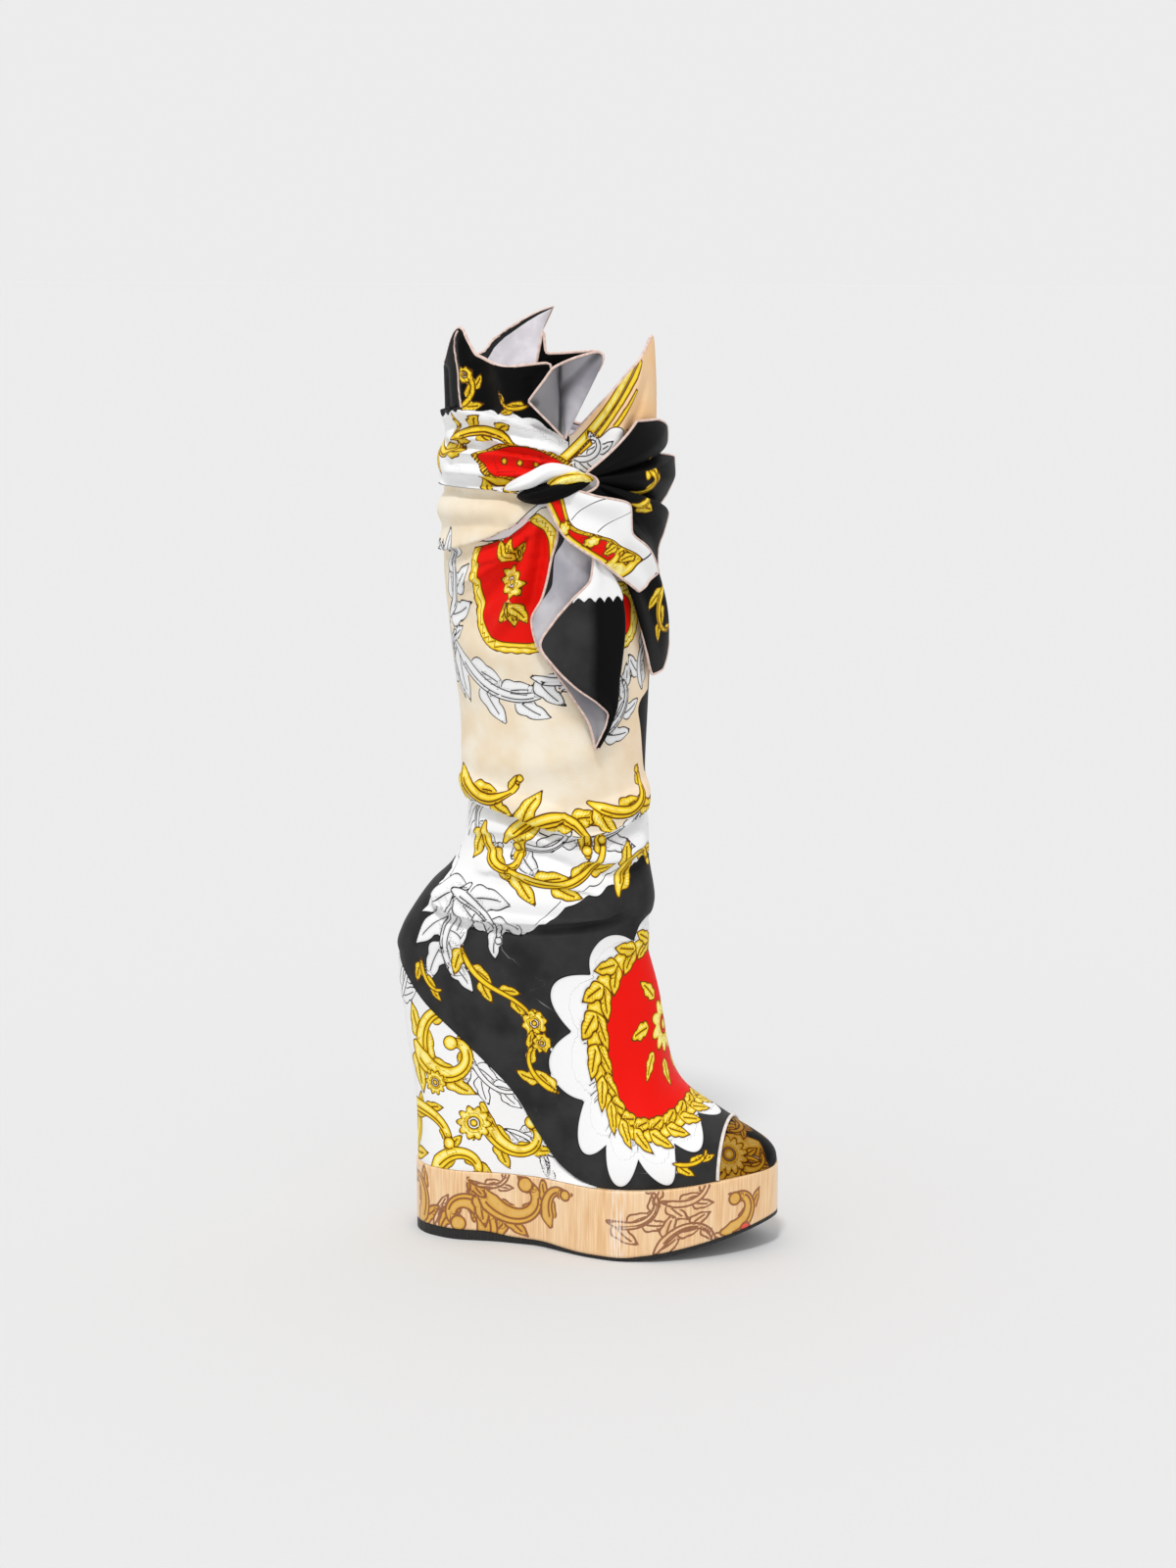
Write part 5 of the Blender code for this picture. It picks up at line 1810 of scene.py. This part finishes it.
def roll_grid(roll):
    """A pointed roll of cloth with twisted pleats."""
    share = (1 - np.cos(np.linspace(ROLL_ENDS, np.pi - ROLL_ENDS, ROLL_ROWS))) / 2
    middle = curves_by_row(roll.places, share * (len(roll.places) - 1))
    centre = shaft_point(*middle)
    angle = np.radians(middle[0])
    outward = np.stack([np.cos(angle), np.sin(angle), np.zeros_like(angle)], -1)
    run = np.gradient(centre, axis=0)
    upward = np.cross(outward, run / np.linalg.norm(run, axis=1, keepdims=True))
    turn = np.linspace(0, 2 * np.pi, ROLL_TURNS + 1)
    twist = roll.pleats * turn + ROLL_TWIST * share[:, None]
    pleat = 1 + PLEAT_DEPTHS[0] * np.sin(twist) + PLEAT_DEPTHS[1] * np.sin(2 * twist + 1.0)
    wide = (1 - (2 * share - 1) ** 2)[:, None] ** ROLL_POINT * pleat
    rise = (wide * roll.half_height * np.cos(turn))[..., None] * upward[:, None]
    swell = (wide * roll.half_depth * np.sin(turn))[..., None] * outward[:, None]
    return centre[:, None] + rise + swell


for roll in KNOT_ROLLS:
    knot_cloth = Cloth(roll_grid(roll), roll.colour)
    fields = knot_cloth.fields
    if roll.colour == "gold":
        fields["hatch"] = fields["warp"] + 0.5 * fields["weft"]
        fields["vein_ink"] = fields["warp"] % KNOT_STRIPE - KNOT_STRIPE / 2
    knot_faces = [
        *grid_faces(ROLL_ROWS, ROLL_TURNS + 1, np.arange(ROLL_ROWS)),
        np.arange(ROLL_TURNS)[::-1],
        (ROLL_ROWS - 1) * (ROLL_TURNS + 1) + np.arange(ROLL_TURNS),
    ]
    points = knot_cloth.points
    add_piece(roll.name, points, knot_faces, upper_print, ["knot"], fields)

# %% Thin cloth with a hem
CLOTH = 0.5  # thickness of the scarf
TAIL_HEM = 0.75


def add_scarf_end(name, face, reverse, node):
    """A thin cloth, printed on both sides, with a rolled hem."""
    grid = face.points.reshape(face.rows, face.columns, 3)
    points, faces = slab(grid, CLOTH)
    fields = {key: np.concatenate([face.fields[key], reverse.fields[key]]) for key in face.fields}
    piece = add_piece(name, points, faces, upper_print, [node], fields)
    hem = add_tube(name + "_hem", evenly(border(grid), HEM_STEP), TAIL_HEM, hem_cloth, [node])


# %% The end that hangs folded
NEAR_TAIL = table("height far_hem fold near_hem far_out near_out", [
    (427, -73, -63, -66, 1, 3.6),
    (412, -72, -56, -59, 1.4, 4.6),
    (399, -75, -51, -55, 2, 6),
    (388, -77, -45, -56, 2.6, 7.6),
    (377, -80, -41, -65, 3.2, 9),
    (364, -86, -40, -75, 3.6, 10.4),
    (352, -84, -41, -81, 4, 11.4),
    (340, -77, -42, -75, 4, 11),
    (328, -69.5, -43, -65, 4, 10.2),
    (318, -63.5, -43, -52.5, 4, 9.2),
    (311, -59, -44, -46.5, 4, 8),
    (306, -56.5, -45.5, -46.7, 4, 6.8),
    (300, -54.6, -48, -49, 4, 5.8),
    (292.5, -53, -52.4, -52.8, 4, 4.9),
])
FOLD_OVERHANG = 2.0
TAIL_CLEAR = 0.7  # the least that it stands off the shaft
Wave = namedtuple("Wave", "height count drop")
FAR_WAVE = Wave(0.9, 1.4, -60)
NEAR_WAVE = Wave(1.3, 1.1, 70)
TAIL_ROWS = 120
TAIL_TURNS = 34
FOLD_TURNS = 9


def wave_out(wave, across, drop):
    return wave.height * np.sin(2 * np.pi * (across * wave.count + drop / wave.drop)) * across


def near_tail():
    """The hanging end: its far layer, the fold and its near layer, and the angle of each point."""
    knots = -column(NEAR_TAIL, "height")
    drop = np.linspace(knots[0], knots[-1], TAIL_ROWS)[:, None]
    row = {name: smooth(knots, column(NEAR_TAIL, name), drop) for name in NEAR_TAIL[0]._fields[1:]}
    across = np.linspace(0, 1, TAIL_TURNS)
    bow = np.linspace(-np.pi / 2, np.pi / 2, FOLD_TURNS)[1:-1]
    middle, half = (row["near_out"] + row["far_out"]) / 2, (row["near_out"] - row["far_out"]) / 2
    angle = [
        row["far_hem"] + (row["fold"] - row["far_hem"]) * across,
        row["fold"] + FOLD_OVERHANG * np.cos(bow),
        row["fold"] + (row["near_hem"] - row["fold"]) * across,
    ]
    out = [
        row["far_out"] + wave_out(FAR_WAVE, across, drop),
        middle + half * np.sin(bow),
        row["near_out"] + wave_out(NEAR_WAVE, across, drop),
    ]
    angle, out = np.concatenate(angle, 1), np.concatenate(out, 1)
    height = np.broadcast_to(-drop, angle.shape)
    return shaft_point(angle, height, np.maximum(out, TAIL_CLEAR)), angle


tail_grid, tail_angles = near_tail()
print("the hanging end has", tail_angles.size, "points")

# %% Print of the hanging end
tail_face = Cloth(tail_grid, "black")
tail_reverse = Cloth(tail_grid, "grey")
GREY_HEM = [(427, -66), (409, -69), (399, -74), (385, -75), (376, -80), (366, -88)]
hem_heights, hem_angles = np.array(GREY_HEM, float).T
tail_height = tail_grid[..., 2].reshape(-1)
tail_angle = tail_angles.reshape(-1)
beyond_hem = tail_angle - smooth(-hem_heights, hem_angles, -tail_height)
black_edge = np.where(tail_height > hem_heights[-1], beyond_hem * ARC, FAR)
tail_reverse.lay("black", np.arange(len(tail_height)), black_edge)

# White shows at the top, down to a jagged edge. The tip is painted darker as shade, and the black
# face is painted lighter on its left as sheen
WHITE_TOP = Place(-50, 378, 8.0)
JAG_DEPTH, JAG_TURN, JAG_DROP = 3.0, 0.55, 4.0
TIP_PAINTED_SHADE = 0.55
near, along, across = tail_face.patch(tail_face.nearest(shaft_point(*WHITE_TOP)), 30)
tail_face.lay("leaf", near, JAG_DEPTH * np.abs(np.sin(along * JAG_TURN)) - across - JAG_DROP)
for side in (tail_face, tail_reverse):
    side.fields["worn"] = fade(tail_angle, -54, -59)
    side.fields["dim"] = TIP_PAINTED_SHADE * fade(tail_height, 342, 330)
add_scarf_end(
    "scarf_end_near", tail_face, tail_reverse, "tail_near",
)

# %% The end that fans out to the front
FRONT_TAIL = table("angle height out ridge", [
    (-28, 472, 4, 1),
    (-12, 472, 4.5, 2.5),
    (1, 468, 6.5, 4),
    (6, 459, 6, 2),
    (0, 453, 2.5, -3),
    (9, 450, 9.5, 2),
    (12, 441, 9.5, 4),
    (7, 431, 6, 2),
    (0, 423, 2.2, -3),
    (7, 419, 6.5, 2),
    (4, 410, 5, 3),
    (0, 398, 2.6, -1.5),
    (3, 380, 2.6, 2),
    (9, 362, 5.5, 3),
    (13, 345, 9.5, 1),
    (5, 331, 7, -1.5),
    (-8, 330, 5, 2),
    (-20, 350, 5, 1),
    (-30, 378, 6.5, -1),
    (-38, 393, 8, 0),
])
FRONT_TAIL_ARC = (50.0, -65.0)
KNOT_ANGLE = -70.0
KNOT_HEIGHT = 440.0
KNOT_REACH = 17.0
KNOT_RISE = 7.0
KNOT_OUT = 7.0
FRONT_CLEAR = 1.2
SPRAY_OUT = 5.0
FRONT_ROWS = 70
FRONT_TURNS = 240


def front_tail():
    """The fan: rays from an arc round the knot to the hem, with a pleat along each ridge."""
    hem = curves_by_row(FRONT_TAIL, np.linspace(0, len(FRONT_TAIL) - 1, FRONT_TURNS))
    turn = np.radians(np.linspace(*FRONT_TAIL_ARC, FRONT_TURNS))
    start = [
        KNOT_ANGLE + KNOT_REACH * np.cos(turn),
        KNOT_HEIGHT + KNOT_RISE * np.sin(turn),
        np.full_like(turn, KNOT_OUT),
    ]
    share = np.linspace(0, 1, FRONT_ROWS)[:, None]
    angle, height, out = (a + share * (b - a) for a, b in zip(start, hem))
    pleat = hem[3] * np.sin(np.pi * share**0.8)
    return shaft_point(angle, height, np.maximum(out + pleat, FRONT_CLEAR))


front_grid = front_tail()
front_face = Cloth(front_grid, "black")
FRONT_SPRAYS = [
    Spray(-22, 438, "gold", 52, 34, 1.6, 2.4, 2.8, 3, 15),
    Spray(-8, 362, "gold", -70, 40, 0.9, 1.4, 2.4, 4, 15),
]
for spray in FRONT_SPRAYS:
    print_spray(front_face, front_face.nearest(shaft_point(spray.a, spray.b, SPRAY_OUT)), spray)
add_scarf_end(
    "scarf_end_front", front_face, Cloth(front_grid, "grey"), "tail_front",
)

# %% The printed strip over the fan
STRIP = table("share upper_angle upper_height lower_angle lower_height out red_from", [
    (0, -66, 437, -78, 430, 7.5, 0.40),
    (0.33, -55, 433, -69, 411, 9, 0.74),
    (0.55, -38, 427, -60, 403, 10, 0.66),
    (0.72, -37, 413, -52, 397, 10.2, 0.42),
    (0.88, -25, 402, -43, 389, 10, 0.30),
    (1, -15, 389, -30, 379, 9, 0.30),
])
STRIP_ROWS = 70
STRIP_TURNS = 54
strip_share = np.linspace(0, 1, STRIP_ROWS)[:, None]
strip_across = np.linspace(0, 1, STRIP_TURNS)
strip = curves(STRIP, "share", strip_share)


def across_strip(name):
    upper, lower = strip["upper_" + name], strip["lower_" + name]
    return upper + (lower - upper) * strip_across


STRIP_LENGTH = 80
STRIP_WAVE = 1.3
strip_wave = np.sin(2 * np.pi * strip_across * 1.5 + 0.5)
strip_wave = STRIP_WAVE * strip_wave * np.sin(np.pi * (0.15 + 0.7 * strip_share))
strip_angle = across_strip("angle")
strip_grid = shaft_point(strip_angle, across_strip("height"), strip["out"] + strip_wave)
strip_face = Cloth(strip_grid, "white")
strip_all = np.arange(len(strip_face.points))
strip_wide = np.linalg.norm(strip_grid[:, -1] - strip_grid[:, 0], axis=-1)[:, None]
into_red = ((strip_across - strip["red_from"]) * strip_wide).reshape(-1)
from_edge = ((1 - strip_across) * strip_wide).reshape(-1)
along_strip = np.broadcast_to(strip_share * STRIP_LENGTH, strip_angle.shape).reshape(-1)
print("the strip has", len(strip_all), "points")

# %% Print of the strip
# White, then red between gold edges with two flowers, a gold end with leaves, and a white tip
GOLD_EDGES = (2.2, 2.6)
RED_END, GOLD_END = 60, 72
STRIP_FLOWERS, STRIP_FLOWER, FLOWER_IN, FLOWER_PETALS = (22, 42), 4.6, 5, 6
STRIP_LINES, LINE_BOW, LINE_REACH = (22, 40), 0.02, 4
STRIP_LEAVES, STRIP_LEAF = ((52, 0.5), (58, -0.4), (63, 0.5), (68, -0.4)), 11
strip_face.lay("gold", strip_all, -into_red)
in_gold = np.maximum(GOLD_EDGES[0] - into_red, GOLD_EDGES[1] - from_edge)
strip_face.lay("red", strip_all, in_gold)
for place in STRIP_FLOWERS:
    flower = (along_strip - place, into_red - FLOWER_IN, STRIP_FLOWER, FLOWER_PETALS)
    strip_face.lay("gold", strip_all, *rosette_shape(*flower))
strip_face.lay("gold", strip_all, np.maximum(RED_END - along_strip, -into_red))
strip_face.lay("white", strip_all, GOLD_END - along_strip)
for place in STRIP_LINES:
    line = along_strip - place - LINE_BOW * into_red**2
    on_line = (into_red < -1) & (np.abs(line) < LINE_REACH)
    strip_face.draw("vein_ink", strip_all[on_line], line[on_line])
for place, lean in STRIP_LEAVES:
    leaf = turned(into_red - 1.0, along_strip - place, lean)
    print_leaf(strip_face, "gold", strip_all, *leaf, STRIP_LEAF)
add_scarf_end(
    "scarf_strip", strip_face, Cloth(strip_grid, "grey"), "tail_front",
)

# %% [markdown]
# ## The turned-over corner of the collar
#
# One corner of the collar's cloth falls outwards and shows its grey lining, with a black layer of
# cloth behind it. It could be part of the upper's skin, but a skin that turns back on itself is hard
# to shape. As a piece of its own, it is rays from the foot of the corner out to its edge.

# %% Turned-over corner
CORNER = table("angle height out ridge", [
    (-86, 484, 9, 1),
    (-79.5, 494, 11, 2.5),
    (-74.5, 502, 9, 0),
    (-72, 503.5, 7, -5),
    (-64.5, 507.5, 11, 0.5),
    (-56, 510.5, 15, 3),
    (-53.5, 508, 16, 2.5),
    (-54.5, 502, 14, 1.5),
    (-59.5, 494, 10.5, 0.5),
    (-64.5, 484, 7, 0),
    (-67, 471, 4, 0),
])
CORNER_FOOT = (-68.5, 463, 2.5)
CORNER_START = 0.03  # the rays start this share away from the foot
CORNER_ROWS = 40
CORNER_TURNS = 110
corner_edge = curves_by_row(CORNER, np.linspace(0, len(CORNER) - 1, CORNER_TURNS))
corner_share = np.linspace(CORNER_START, 1, CORNER_ROWS)[:, None]
corner_angle, corner_height, corner_out = (
    foot + corner_share * (edge - foot) for foot, edge in zip(CORNER_FOOT, corner_edge)
)
corner_out = corner_out + corner_edge[3] * np.sin(np.pi * corner_share**1.4)
corner_grid = shaft_point(corner_angle, corner_height, corner_out)
corner_face, corner_reverse = Cloth(corner_grid, "grey"), Cloth(corner_grid, "black")
print("the corner has", corner_grid[..., 0].size, "points")

# %% Painted shade on the corner
# The grey is painted darker as shade: all over the left facet and the top of the right one, and
# most in the valley, along a stroke across the right facet and at the left tip
LEFT_PAINTED_SHADE, RIGHT_PAINTED_SHADE, TOP_PAINTED_SHADE, VALLEY_PAINTED_SHADE, DARKEST = 0.68, 0.08, 0.5, 0.98, 0.95
VALLEY_AT, VALLEY_HALF = -71.4, 2.1
CORNER_ARC = 0.95  # millimetres in one degree round the corner
STROKE_AT, STROKE_SLOPE, STROKE_HALF = (-67.0, 488.0), (-0.83, 0.55), 3.2
LEFT_TIP, TIP_SPREAD = (-83.5, 483.0), 34.0


def bell(offset, half):
    return np.exp(-((offset / half) ** 2))


left_facet = fade(corner_angle, -71.5, -73.0)
right_painted_shade = RIGHT_PAINTED_SHADE + TOP_PAINTED_SHADE * fade(corner_height, 487.0, 501.0)
facets = LEFT_PAINTED_SHADE * left_facet + (1 - left_facet) * right_painted_shade
valley = VALLEY_PAINTED_SHADE * bell(corner_angle - VALLEY_AT, VALLEY_HALF)
stroke = STROKE_SLOPE[0] * (CORNER_ARC * corner_angle - STROKE_AT[0])
stroke = bell(stroke + STROKE_SLOPE[1] * (corner_height - STROKE_AT[1]), STROKE_HALF)
stroke = DARKEST * stroke * (corner_angle > -72.0)
from_tip = (corner_angle - LEFT_TIP[0]) ** 2 + (corner_height - LEFT_TIP[1]) ** 2
tip = DARKEST * np.exp(-from_tip / TIP_SPREAD)
for side in (corner_face, corner_reverse):
    side.fields["dim"] = np.max([valley, stroke, tip, facets], axis=0).reshape(-1)
add_scarf_end(
    "collar_corner", corner_face, corner_reverse, "upper",
)

# %% The black layer behind the corner
COLLAR_LAYER = table("angle height out foot_angle foot_out", [
    (-84, 500, 0, -84, -6),
    (-82.4, 508, 1.5, -83.2, -6),
    (-80.8, 516, 2.6, -82.4, -6),
    (-79.3, 521.5, 3.4, -81.6, -6),
    (-78.4, 511, 2.6, -81.2, -6),
    (-77.5, 509.3, 2.6, -80.8, -6),
    (-74.5, 509.5, 3.6, -79.2, -5.5),
    (-72, 509.6, 4.6, -78, -5),
    (-67.5, 510, 7, -76, -4.5),
    (-61, 510.5, 9.5, -73, -4),
    (-54.5, 511, 13.2, -70, -3),
])
LAYER_FOOT = 464.0
LAYER_BOW = 1.4  # above 1, its right edge is hollow, as the corner's is
LAYER_HOLLOW = 4.8  # how far it gives way to the corner's valley
HOLLOW_AT, HOLLOW_HALF = -71.5, 5.5
LAYER_ROWS = 40
LAYER_TURNS = 100
layer_at = np.linspace(COLLAR_LAYER[0].angle, COLLAR_LAYER[-1].angle, LAYER_TURNS)
layer = curves(COLLAR_LAYER, "angle", layer_at)
layer_share = np.linspace(0, 1, LAYER_ROWS)[:, None]
layer_angle = layer["foot_angle"] + layer_share**LAYER_BOW * (layer["angle"] - layer["foot_angle"])
layer_height = LAYER_FOOT + layer_share * (layer["height"] - LAYER_FOOT)
layer_out = layer["foot_out"] + layer_share * (layer["out"] - layer["foot_out"])
hollow = np.sin(np.pi * layer_share) * bell(layer_angle - HOLLOW_AT, HOLLOW_HALF)
layer_out = layer_out - LAYER_HOLLOW * hollow
layer_grid = shaft_point(layer_angle, layer_height, layer_out)
add_scarf_end(
    "collar_layer", Cloth(layer_grid, "black"), Cloth(layer_grid, "grey"), "upper",
)

# %% [markdown]
# ## The sock
#
# The footbed inside is covered with a tan sock. Its solid is smooth and hardly seen, so it stays as
# it is and only gets its cloth.

# %% Insole
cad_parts["insole"].data.materials.clear()
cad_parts["insole"].data.materials.append(sock_cloth)
print("insole:", sock_cloth.name)

# %% [markdown]
# ## The studio
#
# Light comes evenly from all round, with one soft lamp from above the camera's left that shapes the
# folds. Area lamps would do too, but even light needs no placing. The pale floor is as bright as
# the background, so no horizon shows.

# %% Floor
FLOOR_HALF = 30.0
FLOOR_STEPS = 3
floor_line = np.linspace(-FLOOR_HALF, FLOOR_HALF, FLOOR_STEPS)
floor_grid = np.array([[(x, y, 0.0) for x in floor_line] for y in floor_line])
floor_mesh = bpy.data.meshes.new("studio_floor")
floor_faces = grid_faces(FLOOR_STEPS, FLOOR_STEPS)
floor_mesh.from_pydata(floor_grid.reshape(-1, 3).tolist(), [], floor_faces.tolist())
floor_mesh.shade_smooth()
FLOOR_GREY = (0.70, 0.70, 0.70)
floor_paint = Paint("pale_floor", Base_Color=FLOOR_GREY, Roughness=0.9, Specular_IOR_Level=0.1)
floor_mesh.materials.append(floor_paint.material)
floor = bpy.data.objects.new("studio_floor", floor_mesh)
bpy.context.scene.collection.objects.link(floor)
floor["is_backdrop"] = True
print("the floor is", 2 * FLOOR_HALF, "m wide")

# %% Light from all round
world = bpy.data.worlds.new("studio_light")
world.use_nodes = True
WORLD_STRENGTH = 0.84
background = world.node_tree.nodes["Background"]
background.inputs["Color"].default_value = (1, 1, 1, 1)
background.inputs["Strength"].default_value = WORLD_STRENGTH
bpy.context.scene.world = world
print("light from all round:", WORLD_STRENGTH)

# %% Lamp and camera
CENTRE = np.array([0.06807, 0.0, 0.2648])
Aim = namedtuple("Aim", "azimuth elevation distance")
KEY_AIM = Aim(4.0, 58.0, 2.0)
KEY_STRENGTH = 1.35
KEY_SPREAD = 8.0
VIEW_AIM = Aim(14.0, 10.0, 1.8)
VIEW_LENS = 72.8


def point_at_boot(thing, aim):
    """Places a lamp or a camera round the boot and turns it to the boot's middle."""
    turn, rise = np.radians([aim.azimuth, aim.elevation])
    way = [np.sin(turn) * np.cos(rise), -np.cos(turn) * np.cos(rise), np.sin(rise)]
    thing.location = CENTRE + np.array(way) * aim.distance
    thing.rotation_mode = "QUATERNION"
    thing.rotation_quaternion = Vector(way).to_track_quat("Z", "Y")
    bpy.context.scene.collection.objects.link(thing)
    print(f"{thing.name} at", [round(value, 3) for value in thing.location])


key_light = bpy.data.lights.new("key_light", "SUN")
key_light.energy = KEY_STRENGTH
key_light.angle = np.radians(KEY_SPREAD)
point_at_boot(bpy.data.objects.new("key_light", key_light), KEY_AIM)
camera = bpy.data.objects.new("camera", bpy.data.cameras.new("camera"))
camera.data.lens = VIEW_LENS
point_at_boot(camera, VIEW_AIM)
bpy.context.scene.camera = camera
bpy.context.scene.view_settings.view_transform = "Standard"

# %% The sizes of the solids and of the scene
sizes = {"cad": cad_bounds, "visual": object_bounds()}
sizes = {name: [list(corner) for corner in corners] for name, corners in sizes.items()}
print({name: [[round(v / MM, 1) for v in corner] for corner in c] for name, c in sizes.items()})
